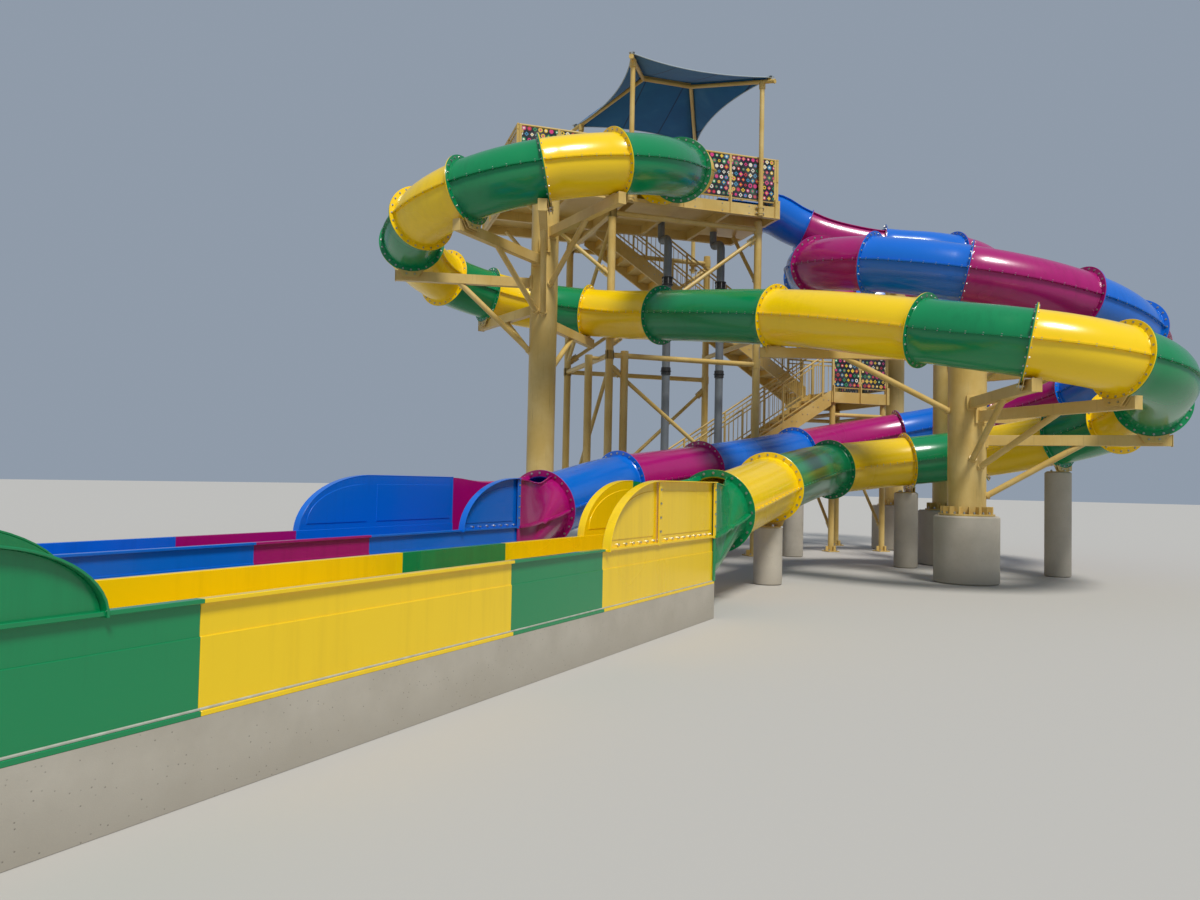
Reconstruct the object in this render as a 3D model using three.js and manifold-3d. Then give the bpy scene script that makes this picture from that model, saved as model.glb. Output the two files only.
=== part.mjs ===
// Water slide tower with two body flumes, in millimetres, +Z up.
// The run-out lanes lead away from the tower along -Y. Positions below are counted from the ground
// under the middle of the stair tower, and the whole slide is then moved so that the origin is on
// the ground in the middle of it.
import * as THREE from 'three';
import { mergeVertices } from 'three/addons/utils/BufferGeometryUtils.js';
import Module from 'manifold-3d';

const wasm = await Module();
wasm.setup();

// Flume tubes
const FLUME_INNER_RADIUS = 457;
const FLUME_WALL = 18;
const FLUME_RADIUS = FLUME_INNER_RADIUS + FLUME_WALL;
const FLANGE_RADIUS = 540;
const FLANGE_THICKNESS = 24;
const FLUME_SIDES = 12;
const ARC_STEP = 900;
const STRAIGHT_STEP = 3000;
const FIT_GAP = 0.4;
const MIDDLE = [3109, -5282];

// Stair tower, in its own frame turned from the row frame
const TOWER_TURN = Math.PI / 4;
const FRONT_LEFT = [-1775, -1650];
const FRONT_RIGHT = [1675, -1600];
const BACK_RIGHT = [1900, 1650];
const BACK_LEFT = [-1775, 1650];
const POST_RADIUS = 84;
const PLATFORM_FLOOR = 7700;
const PLATFORM_FRONT = -1944.6;
const PLATFORM_RIGHT = 2010;
const PLATFORM_LEFT = -3950;
const PLATFORM_BACK = 430;
const PLATFORM_TAIL_BACK = 1640;
const STAIR_TOP_X = -1450;
const DECK_THICKNESS = 60;
const FASCIA_DEPTH = 260;
const LANDING_FLOOR = 3850;
const LANDING_LEFT = 4200;
const LANDING_RIGHT = 5800;
const LOWER_FLIGHT_Y = [-620, 380];
const UPPER_FLIGHT_Y = [560, 1560];
const RISERS_PER_FLIGHT = 21;
const GUARD_HEIGHT = 1070;

// Columns and concrete piers
const COLUMN_RADIUS = 245;
const COLUMN_THICK_RADIUS = 305;
const PIER_RADIUS = 520;
const PIER_HEIGHT = 1120;
const SMALL_PIER_RADIUS = 225;

// Run-out lanes
const LANE_BASE = 400;
const LANE_HALF_WIDTH = 530;
const LANE_WALL = 30;
const LANE_RIM = 956;
const LANE_FLOOR = 450;
const SPLASH_TOP = 1570;

// Plan of each flume, backward from its exit: straights [length] and bends [radius, degrees],
// positive to the right.
const FLUME_A = {
  start: [4264, -9264],
  plan: [[6300], [2700, 177], [750], [1850, 112], [6750], [2350, -299], [1020], [2300, -35],
    [1164]],
  heights: [[0, 1030], [1500, 1190], [3950, 1520], [5000, 1640], [10000, 2200], [14000, 2910],
    [18000, 3550], [22000, 4360], [26000, 4900], [30000, 5420], [34000, 6110], [37500, 6860],
    [39300, 7370], [41000, 7994], [41610, 8000]],
  joints: [1500, 3950, 7300, 9150, 10600, 11950, 13200, 14500, 17000, 18250, 19750, 22400, 25050,
    26900, 28000, 29000, 30100, 31750, 32700, 33900, 35150, 36300, 38500],
};
const FLUME_B = {
  start: [1564, -9264],
  plan: [[3350], [2440, 13.8], [6320], [3290, 262.6], [300], [2000, 69], [6050], [2150, 264.6],
    [2150], [2400, -25], [600]],
  heights: [[0, 950], [1500, 1155], [3950, 1540], [5950, 1770], [10350, 2360], [14750, 3160],
    [19250, 4100], [23650, 5000], [26050, 5500], [29050, 5980], [32550, 6420], [38050, 6800],
    [44050, 7100], [44750, 7170], [45750, 7380], [46750, 7740], [47450, 7992], [47830, 8000]],
  joints: [1500, 3950, 6350, 9950, 13150, 15350, 17150, 18750, 20800, 22450, 24350, 25900, 27250,
    29950, 32350, 34550, 36250, 37950, 39650, 41350, 43050, 44750, 46550],
};

const YELLOW = 0xf2c500;
const GREEN = 0x00844a;
const BLUE = 0x0a63c8;
const MAGENTA = 0xa01670;
const TAN = 0xc9a95b;
const CONCRETE = 0xb8b0a2;
const SAIL_BLUE = 0x1d5a93;
const PIPE_GREY = 0x4a4e55;

const slide = new THREE.Group();
slide.position.set(-MIDDLE[0], -MIDDLE[1], 0);
const tower = new THREE.Group();
tower.rotation.z = TOWER_TURN;
slide.add(tower);

const paint = (color, roughness = 0.35, metalness = 0) =>
  new THREE.MeshStandardMaterial({ color, roughness, metalness });

function addPart(parent, name, geometry, material) {
  geometry.computeVertexNormals();
  const mesh = new THREE.Mesh(geometry, material);
  mesh.name = name;
  parent.add(mesh);
  return mesh;
}

// Conversions between closed three.js geometry and solids that can be joined and cut.
function solidOf(geometry) {
  const bare = geometry.clone();
  bare.deleteAttribute('normal');
  bare.deleteAttribute('uv');
  const merged = mergeVertices(bare, 0.001);
  const mesh = new wasm.Mesh({
    numProp: 3,
    vertProperties: new Float32Array(merged.attributes.position.array),
    triVerts: new Uint32Array(merged.index.array),
  });
  return new wasm.Manifold(mesh);
}

function geometryOf(solid) {
  const mesh = solid.getMesh();
  const geometry = new THREE.BufferGeometry();
  geometry.setAttribute('position', new THREE.BufferAttribute(new Float32Array(mesh.vertProperties), 3));
  geometry.setIndex(new THREE.BufferAttribute(new Uint32Array(mesh.triVerts), 1));
  return geometry;
}

function joined(solids) {
  let whole = solids[0];
  for (const solid of solids.slice(1)) whole = whole.add(solid);
  return whole;
}

function boxSolid(x0, x1, y0, y1, z0, z1) {
  const geometry = new THREE.BoxGeometry(x1 - x0, y1 - y0, z1 - z0);
  geometry.translate((x0 + x1) / 2, (y0 + y1) / 2, (z0 + z1) / 2);
  return solidOf(geometry);
}

// A straight member from a to b, its length along the line between them.
function alignedMatrix(a, b) {
  const from = new THREE.Vector3(...a);
  const to = new THREE.Vector3(...b);
  const along = to.clone().sub(from).normalize();
  const up = Math.abs(along.z) > 0.95 ? new THREE.Vector3(1, 0, 0) : new THREE.Vector3(0, 0, 1);
  const side = new THREE.Vector3().crossVectors(along, up).normalize();
  const top = new THREE.Vector3().crossVectors(side, along).normalize();
  const matrix = new THREE.Matrix4().makeBasis(side, along, top);
  matrix.setPosition(from.add(to).multiplyScalar(0.5));
  return matrix;
}

function barSolid(a, b, width, height) {
  const length = new THREE.Vector3(...a).distanceTo(new THREE.Vector3(...b));
  const geometry = new THREE.BoxGeometry(width, length, height);
  geometry.applyMatrix4(alignedMatrix(a, b));
  return solidOf(geometry);
}

function rodSolid(a, b, radius, sides = 6) {
  const length = new THREE.Vector3(...a).distanceTo(new THREE.Vector3(...b));
  const geometry = new THREE.CylinderGeometry(radius, radius, length, sides);
  geometry.applyMatrix4(alignedMatrix(a, b));
  return solidOf(geometry);
}

function columnSolid(x, y, z0, z1, radius, sides = 16) {
  const geometry = new THREE.CylinderGeometry(radius, radius, z1 - z0, sides);
  geometry.rotateX(Math.PI / 2);
  geometry.translate(x, y, (z0 + z1) / 2);
  return solidOf(geometry);
}

// A flume's centre line: plan of straights and bends, with heights along its length.
class FlumeLine {
  constructor({ start, plan, heights, joints }) {
    this.joints = joints;
    this.heights = heights;
    this.pieces = [];
    let x = start[0];
    let y = start[1];
    let heading = 0;
    let at = 0;
    for (const [size, degrees] of plan) {
      if (degrees === undefined) {
        this.pieces.push({ at, length: size, x, y, heading, bend: 0 });
        x += size * Math.sin(heading);
        y += size * Math.cos(heading);
        at += size;
      } else {
        const turn = THREE.MathUtils.degToRad(degrees);
        const length = size * Math.abs(turn);
        const bend = Math.sign(turn) / size;
        this.pieces.push({ at, length, x, y, heading, bend });
        const centreX = x + Math.cos(heading) / bend;
        const centreY = y - Math.sin(heading) / bend;
        heading += turn;
        x = centreX - Math.cos(heading) / bend;
        y = centreY + Math.sin(heading) / bend;
        at += length;
      }
    }
    this.length = at;
    heights[heights.length - 1][0] = at;
  }

  pieceAt(s) {
    let found = this.pieces[0];
    for (const piece of this.pieces) if (s >= piece.at - 1e-6) found = piece;
    return found;
  }

  bendCentre(index) {
    const piece = this.pieces[index];
    return [
      piece.x + Math.cos(piece.heading) / piece.bend,
      piece.y - Math.sin(piece.heading) / piece.bend,
    ];
  }

  slope(i) {
    const h = this.heights;
    const before = i > 0 ? (h[i][1] - h[i - 1][1]) / (h[i][0] - h[i - 1][0]) : null;
    const after = i < h.length - 1 ? (h[i + 1][1] - h[i][1]) / (h[i + 1][0] - h[i][0]) : null;
    if (before === null) return after;
    if (after === null) return before;
    return (2 * before * after) / (before + after);
  }

  height(s) {
    const h = this.heights;
    let i = 0;
    while (i < h.length - 2 && s > h[i + 1][0]) i += 1;
    const span = h[i + 1][0] - h[i][0];
    const t = (s - h[i][0]) / span;
    const t2 = t * t;
    const t3 = t2 * t;
    return h[i][1] * (2 * t3 - 3 * t2 + 1) + this.slope(i) * span * (t3 - 2 * t2 + t)
      + h[i + 1][1] * (3 * t2 - 2 * t3) + this.slope(i + 1) * span * (t3 - t2);
  }

  // Point, side and top directions at arc length s.
  frame(s) {
    const piece = this.pieceAt(s);
    const run = s - piece.at;
    const heading = piece.heading + piece.bend * run;
    let x = piece.x + run * Math.sin(heading);
    let y = piece.y + run * Math.cos(heading);
    if (piece.bend !== 0) {
      x = piece.x + (Math.cos(piece.heading) - Math.cos(heading)) / piece.bend;
      y = piece.y + (Math.sin(heading) - Math.sin(piece.heading)) / piece.bend;
    }
    const rise = (this.height(Math.min(s + 20, this.length)) - this.height(Math.max(s - 20, 0)))
      / (Math.min(s + 20, this.length) - Math.max(s - 20, 0));
    const along = new THREE.Vector3(Math.sin(heading), Math.cos(heading), rise).normalize();
    const side = new THREE.Vector3(Math.cos(heading), -Math.sin(heading), 0);
    const top = new THREE.Vector3().crossVectors(side, along).normalize();
    return { point: new THREE.Vector3(x, y, this.height(s)), side, top, along };
  }

  // Arc lengths between two joints, close together in bends and far apart on straights.
  steps(from, to) {
    const marks = [from];
    const breaks = this.pieces.map((piece) => piece.at).filter((at) => at > from + 150 && at < to - 150);
    for (const stop of [...breaks, to]) {
      const start = marks[marks.length - 1];
      const middle = this.pieceAt((start + stop) / 2);
      const step = middle.bend === 0 ? STRAIGHT_STEP : ARC_STEP;
      const count = Math.max(1, Math.round((stop - start) / step));
      for (let i = 1; i <= count; i += 1) marks.push(start + ((stop - start) * i) / count);
    }
    return marks;
  }
}

const lineA = new FlumeLine(FLUME_A);
const lineB = new FlumeLine(FLUME_B);

// Rings of points on a line: [arc length, radius] pairs, each a polygon around the centre line.
function ringPoints(line, s, radius, sides = FLUME_SIDES) {
  const { point, side, top } = line.frame(s);
  const points = [];
  for (let i = 0; i < sides; i += 1) {
    const angle = (2 * Math.PI * (i + 0.5)) / sides;
    points.push(point.clone()
      .addScaledVector(side, radius * Math.sin(angle))
      .addScaledVector(top, radius * Math.cos(angle)));
  }
  return points;
}

// Closed skin through rows of points. Rows wrap round when closedRows is true.
function skin(rows, faces, flip, closedRows) {
  for (let i = 0; i < rows.length - 1; i += 1) {
    const a = rows[i];
    const b = rows[i + 1];
    const count = closedRows ? a.length : a.length - 1;
    for (let k = 0; k < count; k += 1) {
      const next = (k + 1) % a.length;
      if (flip) {
        faces.push([a[k], b[k], a[next]], [a[next], b[k], b[next]]);
      } else {
        faces.push([a[k], a[next], b[k]], [a[next], b[next], b[k]]);
      }
    }
  }
}

function geometryFromFaces(faces) {
  const positions = [];
  for (const face of faces) for (const point of face) positions.push(point.x, point.y, point.z);
  const geometry = new THREE.BufferGeometry();
  geometry.setAttribute('position', new THREE.Float32BufferAttribute(positions, 3));
  const merged = mergeVertices(geometry, 0.001);
  const index = Array.from(merged.index.array);
  const kept = [];
  for (let i = 0; i < index.length; i += 3) {
    if (index[i] !== index[i + 1] && index[i + 1] !== index[i + 2] && index[i] !== index[i + 2]) {
      kept.push(index[i], index[i + 1], index[i + 2]);
    }
  }
  merged.setIndex(kept);
  return merged;
}

// Outside rings of a stretch, with a bolted flange at each joint and half a flange at each end.
function outsideRings(line, from, to, grow = 0) {
  const half = FLANGE_THICKNESS / 2;
  const tube = FLUME_RADIUS + grow;
  const flange = FLANGE_RADIUS + grow;
  const inner = line.joints.filter((s) => s > from + 200 && s < to - 200);
  const rings = [[from - grow, flange], [from + half + grow, flange], [from + half + grow, tube]];
  const stops = [...inner, to];
  let start = from + half + grow;
  for (const stop of stops) {
    const end = stop - half - grow;
    for (const s of line.steps(start, end).slice(1)) rings.push([s, tube]);
    if (stop === to) {
      rings.push([end, flange], [stop + grow, flange]);
    } else {
      rings.push([end, flange], [stop + half + grow, flange], [stop + half + grow, tube]);
      start = stop + half + grow;
    }
  }
  return rings;
}

// Inside rings of a stretch, one for each place where the outside turns.
function insideStops(line, from, to) {
  const half = FLANGE_THICKNESS / 2;
  const inner = line.joints.filter((s) => s > from + 200 && s < to - 200);
  const stops = [from];
  let start = from + half;
  for (const stop of [...inner, to]) {
    stops.push(...line.steps(start, stop - half).slice(1, -1), stop);
    start = stop + half;
  }
  return stops;
}

function tubeStretch(line, from, to) {
  const a = from + FIT_GAP / 2;
  const b = to - FIT_GAP / 2;
  const outside = outsideRings(line, a, b).map(([s, r]) => ringPoints(line, s, r));
  const inside = insideStops(line, a, b).map((s) => ringPoints(line, s, FLUME_INNER_RADIUS));
  const faces = [];
  skin(outside, faces, false, true);
  skin(inside, faces, true, true);
  skin([inside[0], outside[0]], faces, false, true);
  skin([outside[outside.length - 1], inside[inside.length - 1]], faces, false, true);
  return geometryFromFaces(faces);
}

// The room a stretch of flume takes up, a fitting gap larger all round, to cut its supports to it.
function flumeRoom(line, from, to, grow = FIT_GAP) {
  const rows = outsideRings(line, from, to, grow).map(([s, r]) => ringPoints(line, s, r));
  const faces = [];
  skin(rows, faces, false, true);
  for (const [row, flip] of [[rows[0], false], [rows[rows.length - 1], true]]) {
    for (let k = 1; k < row.length - 1; k += 1) {
      faces.push(flip ? [row[0], row[k], row[k + 1]] : [row[0], row[k + 1], row[k]]);
    }
  }
  return solidOf(geometryFromFaces(faces));
}

// An open-topped trough: rows of outside and inside points with equal counts.
function troughGeometry(outside, inside) {
  const faces = [];
  skin(outside, faces, false, false);
  skin(inside, faces, true, false);
  const last = outside.length - 1;
  skin([inside[0], outside[0]], faces, false, false);
  skin([outside[last], inside[last]], faces, false, false);
  const end = outside[0].length - 1;
  const edge = (k, flip) => skin([outside.map((row) => row[k]), inside.map((row) => row[k])], faces, flip, false);
  edge(0, false);
  edge(end, true);
  return geometryFromFaces(faces);
}

// Outline of an open trough at arc length s: an arc of the tube that stops openDegrees each side
// of the top.
function arcOutline(line, s, radius, openDegrees, count = 14) {
  const { point, side, top } = line.frame(s);
  const open = THREE.MathUtils.degToRad(openDegrees);
  const points = [];
  for (let i = 0; i <= count; i += 1) {
    const angle = open + ((2 * Math.PI - 2 * open) * i) / count;
    points.push(point.clone()
      .addScaledVector(side, radius * Math.sin(angle))
      .addScaledVector(top, radius * Math.cos(angle)));
  }
  return points;
}

// Outline of a run-out lane at y: upright walls, rounded corners and a flat floor.
function laneOutline(x, y, half, floor, rim, corner, count = 14) {
  const arcCount = count / 2 - 1;
  const right = [];
  for (let i = 0; i < arcCount; i += 1) {
    const angle = ((Math.PI / 2) * i) / (arcCount - 1);
    right.push(new THREE.Vector3(
      x + half - corner + corner * Math.cos(angle), y, floor + corner - corner * Math.sin(angle)));
  }
  const left = right.map((p) => new THREE.Vector3(2 * x - p.x, y, p.z)).reverse();
  return [
    new THREE.Vector3(x + half, y, rim),
    ...right,
    new THREE.Vector3(x, y, floor),
    ...left,
    new THREE.Vector3(x - half, y, rim),
  ];
}

// Exit transition: the tube opens upward and spreads into the lane's section.
function transitionGeometry(line, length, x, y) {
  const outside = [];
  const inside = [];
  const count = 14;
  const stops = [0, 0.25, 0.5, 0.75, 1];
  const laneOut = laneOutline(x, y, LANE_HALF_WIDTH, LANE_FLOOR - LANE_WALL, SPLASH_TOP, 200, count);
  const laneIn = laneOutline(x, y, LANE_HALF_WIDTH - LANE_WALL, LANE_FLOOR, SPLASH_TOP, 170, count);
  const end = length - FIT_GAP / 2;
  for (const t of stops) {
    const s = FIT_GAP / 2 + (end - FIT_GAP / 2) * t;
    const blend = t * t * (3 - 2 * t);
    const tubeOut = arcOutline(line, s, FLUME_RADIUS, 22 + 20 * (1 - t), count);
    const tubeIn = arcOutline(line, s, FLUME_INNER_RADIUS, 22 + 20 * (1 - t), count);
    const shift = line.frame(s).point.y - y;
    const mix = (lane, tube) => lane.map((p, i) => {
      const q = p.clone();
      q.y += shift;
      return q.lerp(tube[i], blend);
    });
    outside.push(mix(laneOut, tubeOut));
    inside.push(mix(laneIn, tubeIn));
  }
  return troughGeometry(outside, inside);
}

// Start flume of the second slide: an open trough whose sides drop away from the platform.
function startTrough(line, from, to) {
  const outside = [];
  const inside = [];
  const steps = line.steps(from + FIT_GAP / 2, to - FIT_GAP / 2);
  for (const s of steps) {
    outside.push(arcOutline(line, s, FLUME_RADIUS, 52));
    inside.push(arcOutline(line, s, FLUME_INNER_RADIUS, 52));
  }
  return troughGeometry(outside, inside);
}

const rooms = [];
function addTube(name, line, from, to, color) {
  addPart(slide, name, tubeStretch(line, from, to), paint(color));
  rooms.push({ line, from, to, solid: flumeRoom(line, from + FIT_GAP / 2, to - FIT_GAP / 2) });
}

addPart(slide, 'a_exit_transition', transitionGeometry(lineA, 1500, 4264, -9264), paint(GREEN));
addTube('a_exit_run', lineA, 1500, 7300, YELLOW);
addTube('a_lower_bend', lineA, 7300, 13200, GREEN);
addTube('a_right_turn', lineA, 13200, 18250, YELLOW);
addTube('a_long_run', lineA, 18250, 26900, GREEN);
addTube('a_left_turn', lineA, 26900, 36300, YELLOW);
addTube('a_start_bend', lineA, 36300, lineA.length, YELLOW);

addPart(slide, 'b_exit_transition', transitionGeometry(lineB, 1500, 1564, -9264), paint(MAGENTA));
addTube('b_exit_run', lineB, 1500, 9950, BLUE);
addTube('b_lower_bend', lineB, 9950, 17150, MAGENTA);
addTube('b_right_turn', lineB, 17150, 22450, BLUE);
addTube('b_near_run', lineB, 22450, 27250, MAGENTA);
addTube('b_cross_run', lineB, 27250, 34550, BLUE);
addTube('b_loop', lineB, 34550, 44750, MAGENTA);
addPart(slide, 'b_start_trough', startTrough(lineB, 44750, lineB.length), paint(MAGENTA));
rooms.push({ line: lineB, from: 44750, to: lineB.length, solid: flumeRoom(lineB, 44750, lineB.length - 30, 20) });

// Run-out lanes: yellow, blue and green troughs that stand on a strip footing each.
const LANE_END_Y = -17900;
const END_PIECE_Y = -16250;

function laneSolid(x, y0, y1, rim, floor = LANE_FLOOR) {
  const outside = [y0, y1].map((y) => laneOutline(x, y, LANE_HALF_WIDTH, floor - LANE_WALL, rim, 200));
  const inside = [y0, y1].map((y) => laneOutline(x, y, LANE_HALF_WIDTH - LANE_WALL, floor, rim, 170));
  let lane = solidOf(troughGeometry(outside, inside));
  for (const side of [-1, 1]) {
    const edge = x + side * (LANE_HALF_WIDTH - LANE_WALL / 2);
    const lip = side > 0 ? [edge - 5, edge + 45] : [edge - 45, edge + 5];
    lane = lane.add(boxSolid(lip[0], lip[1], y0, y1, rim - 26, rim));
    const foot = side > 0 ? [x + LANE_HALF_WIDTH - 250, x + LANE_HALF_WIDTH + 30]
      : [x - LANE_HALF_WIDTH - 30, x - LANE_HALF_WIDTH + 250];
    lane = lane.add(boxSolid(foot[0], foot[1], y0, y1, LANE_BASE + FIT_GAP, LANE_BASE + 26));
  }
  return lane;
}

// A raised splash guard on one wall of a lane, with a long rounded end towards the run-out.
const GUARD_NOSE = 1150;
function splashGuard(x, side, y0, y1) {
  const rise = SPLASH_TOP - LANE_RIM + 30;
  const shape = new THREE.Shape();
  shape.moveTo(y1, LANE_RIM - 30);
  shape.lineTo(y1, SPLASH_TOP);
  shape.lineTo(y0 + GUARD_NOSE, SPLASH_TOP);
  for (let i = 1; i <= 6; i += 1) {
    const angle = Math.PI / 2 + (Math.PI / 2) * (i / 6);
    shape.lineTo(y0 + GUARD_NOSE + GUARD_NOSE * Math.cos(angle), LANE_RIM - 30 + rise * Math.sin(angle));
  }
  const geometry = new THREE.ExtrudeGeometry(shape, { depth: LANE_WALL, bevelEnabled: false });
  const turn = new THREE.Matrix4().makeBasis(
    new THREE.Vector3(0, 1, 0), new THREE.Vector3(0, 0, 1), new THREE.Vector3(1, 0, 0));
  geometry.applyMatrix4(turn);
  geometry.translate(x + side * (LANE_HALF_WIDTH - LANE_WALL / 2) - LANE_WALL / 2, 0, 0);
  return solidOf(geometry);
}

const laneAX = FLUME_A.start[0];
const laneAY = FLUME_A.start[1];
const laneBX = FLUME_B.start[0];
const laneBY = FLUME_B.start[1];
const lane = (x, y, rightGuard, leftGuard) => joined([
  laneSolid(x, END_PIECE_Y + FIT_GAP, y - FIT_GAP / 2, LANE_RIM),
  splashGuard(x, 1, y - rightGuard, y - FIT_GAP / 2),
  splashGuard(x, -1, y - leftGuard, y - FIT_GAP / 2),
]);
addPart(slide, 'a_lane', geometryOf(lane(laneAX, laneAY, 2750, 1230)), paint(YELLOW));
addPart(slide, 'b_lane', geometryOf(lane(laneBX, laneBY, 1230, 2750)), paint(BLUE));

// End pieces: the walls rise in a rounded hump, a shorter one on the outer wall, and the floor stays
// open to step out.
function endPiece(x, outer) {
  let piece = laneSolid(x, LANE_END_Y, END_PIECE_Y, LANE_RIM);
  for (const side of [-1, 1]) {
    const shape = new THREE.Shape();
    shape.moveTo(LANE_END_Y, LANE_RIM - 30);
    const span = side === outer ? 1150 : END_PIECE_Y - LANE_END_Y;
    const rise = side === outer ? 330 : 380;
    for (let i = 0; i <= 8; i += 1) {
      const angle = Math.PI * (i / 8);
      shape.lineTo(LANE_END_Y + (span / 2) * (1 - Math.cos(angle)), LANE_RIM - 30 + rise * Math.sin(angle));
    }
    const geometry = new THREE.ExtrudeGeometry(shape, { depth: LANE_WALL, bevelEnabled: false });
    geometry.applyMatrix4(new THREE.Matrix4().makeBasis(
      new THREE.Vector3(0, 1, 0), new THREE.Vector3(0, 0, 1), new THREE.Vector3(1, 0, 0)));
    geometry.translate(x + side * (LANE_HALF_WIDTH - LANE_WALL / 2) - LANE_WALL / 2, 0, 0);
    piece = piece.add(solidOf(geometry));
  }
  return piece;
}
addPart(slide, 'a_lane_end', geometryOf(endPiece(laneAX, 1)), paint(GREEN));
addPart(slide, 'b_lane_end', geometryOf(endPiece(laneBX, -1)), paint(BLUE));
for (const [name, x, y] of [['a_footing', laneAX, laneAY], ['b_footing', laneBX, laneBY]]) {
  addPart(slide, name, geometryOf(boxSolid(x - 560, x + 560, LANE_END_Y, y, 0, LANE_BASE)),
    paint(CONCRETE, 0.9));
}

// Columns at the middle of the bends, with an arm and a brace to each joint that they carry.
function armSolids(line, s, cx, cy, braceDrop = 1000, columnRadius = COLUMN_RADIUS) {
  const { point } = line.frame(s);
  const z = point.z - FLANGE_RADIUS - 70;
  const dx = point.x - cx;
  const dy = point.y - cy;
  const reach = Math.hypot(dx, dy);
  const ux = dx / reach;
  const uy = dy / reach;
  const at = (d, h) => [cx + ux * d, cy + uy * d, h];
  const solids = [
    barSolid(at(columnRadius * 0.6, z), at(reach + 260, z), 120, 170),
    barSolid(at(reach, z - 60), at(reach, z + 260), 420, 70),
  ];
  if (braceDrop > 0) solids.push(rodSolid(at(columnRadius * 0.6, z - braceDrop), at(reach * 0.66, z - 20), 50));
  return solids;
}

function roomAt(line, s) {
  return joined(rooms.filter((room) => room.line === line && s > room.from - 1500 && s < room.to + 1500)
    .map((room) => room.solid));
}

// The main body of a solid, without the slivers that a cut can leave beside it.
function mainBody(solid) {
  return solid.decompose().reduce((best, piece) => (piece.volume() > best.volume() ? piece : best));
}

function addColumn(name, [cx, cy], top, radius, arms) {
  let solid = columnSolid(cx, cy, PIER_HEIGHT + FIT_GAP, top, radius);
  solid = solid.add(boxSolid(cx - radius - 90, cx + radius + 90, cy - radius - 90, cy + radius + 90,
    PIER_HEIGHT + FIT_GAP, PIER_HEIGHT + 30));
  for (const [line, s, drop] of arms) {
    solid = joined([solid, ...armSolids(line, s, cx, cy, drop, radius)]);
  }
  for (const [line, s] of arms) solid = solid.subtract(roomAt(line, s));
  addPart(slide, name, geometryOf(mainBody(solid)), paint(TAN, 0.5));
  const pier = columnSolid(cx, cy, 0, PIER_HEIGHT, PIER_RADIUS, 20);
  addPart(slide, `${name}_pier`, geometryOf(pier), paint(CONCRETE, 0.9));
}

addColumn('column_left', lineA.bendCentre(5), 6700, COLUMN_RADIUS, [
  [lineA, 26900, 1000], [lineA, 29000, 1000], [lineA, 31750, 1300], [lineA, 33900, 1000],
  [lineA, 35150, 1300], [lineA, 36300, 1000],
]);
addColumn('column_right', lineA.bendCentre(1), 3980, COLUMN_THICK_RADIUS, [
  [lineA, 22400, 1000], [lineA, 18250, 900], [lineA, 14500, 900], [lineA, 17000, 900],
]);
addColumn('column_far', lineB.bendCentre(7), 6650, COLUMN_RADIUS, [
  [lineB, 34550, 700], [lineB, 37950, 1000], [lineB, 41350, 1000], [lineB, 44750, 1000],
]);
addColumn('column_mid', [6214, 608], 4250, COLUMN_RADIUS, [
  [lineB, 13150, 500], [lineB, 17150, 900], [lineB, 20800, 900], [lineB, 22450, 900],
]);

// Short piers right under the low joints.
for (const [name, line, s] of [
  ['pier_a_1', lineA, 3950], ['pier_a_2', lineA, 9150], ['pier_a_3', lineA, 11950],
  ['pier_b_1', lineB, 6350], ['pier_b_2', lineB, 9950],
]) {
  const { point } = line.frame(s);
  const pier = columnSolid(point.x, point.y, 0, point.z - FLANGE_RADIUS + 70, SMALL_PIER_RADIUS)
    .subtract(roomAt(line, s));
  addPart(slide, name, geometryOf(pier), paint(CONCRETE, 0.9));
}

// Stair tower frame: four pipe posts with rails, crossed braces and knee braces, welded together.
const underside = PLATFORM_FLOOR - FASCIA_DEPTH;
const frameSolids = [];
for (const [x, y] of [FRONT_LEFT, FRONT_RIGHT, BACK_RIGHT, BACK_LEFT]) {
  frameSolids.push(columnSolid(x, y, 25, underside - FIT_GAP, POST_RADIUS, 12));
  frameSolids.push(boxSolid(x - 190, x + 190, y - 190, y + 190, 0, 26));
}
const faces = [
  [FRONT_LEFT, FRONT_RIGHT],
  [FRONT_RIGHT, BACK_RIGHT],
  [BACK_RIGHT, BACK_LEFT],
  [BACK_LEFT, FRONT_LEFT],
];
faces.forEach(([a, b], i) => {
  const heights = i === 1 ? [4800] : [4230, 7250];
  for (const z of heights) frameSolids.push(rodSolid([...a, z], [...b, z], 57));
});
const braces = [
  [[...FRONT_LEFT, 4450], [...FRONT_RIGHT, 7100]], [[...FRONT_LEFT, 4000], [...FRONT_RIGHT, 1300]],
  [[...FRONT_RIGHT, 6000], [1700, -300, 7420]], [[...BACK_LEFT, 4450], [...FRONT_LEFT, 7100]],
  [[...FRONT_LEFT, 4000], [...BACK_LEFT, 600]], [[...BACK_LEFT, 4450], [...BACK_RIGHT, 7100]],
  [[...BACK_RIGHT, 4000], [...BACK_LEFT, 600]],
  [[...FRONT_LEFT, 5900], [-3500, -1100, 7400]], [[...BACK_LEFT, 5900], [-3500, 1100, 7400]],
];
for (const [a, b] of braces) frameSolids.push(rodSolid(a, b, 44));
for (const [x, y, top] of [[-1440, -1650, 4330], [-2050, -1050, 4290]]) {
  frameSolids.push(columnSolid(x, y, 25, top, POST_RADIUS, 12));
  frameSolids.push(boxSolid(x - 160, x + 160, y - 160, y + 160, 0, 26));
}
frameSolids.push(rodSolid([-2050, -1050, 4230], [-1775, -1050, 4230], 40));
const towerFrame = joined(frameSolids).subtract(boxSolid(-4500, 3000, -3000, 3000, underside - FIT_GAP, 9000));
addPart(tower, 'tower_frame', geometryOf(towerFrame), paint(TAN, 0.5));

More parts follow.
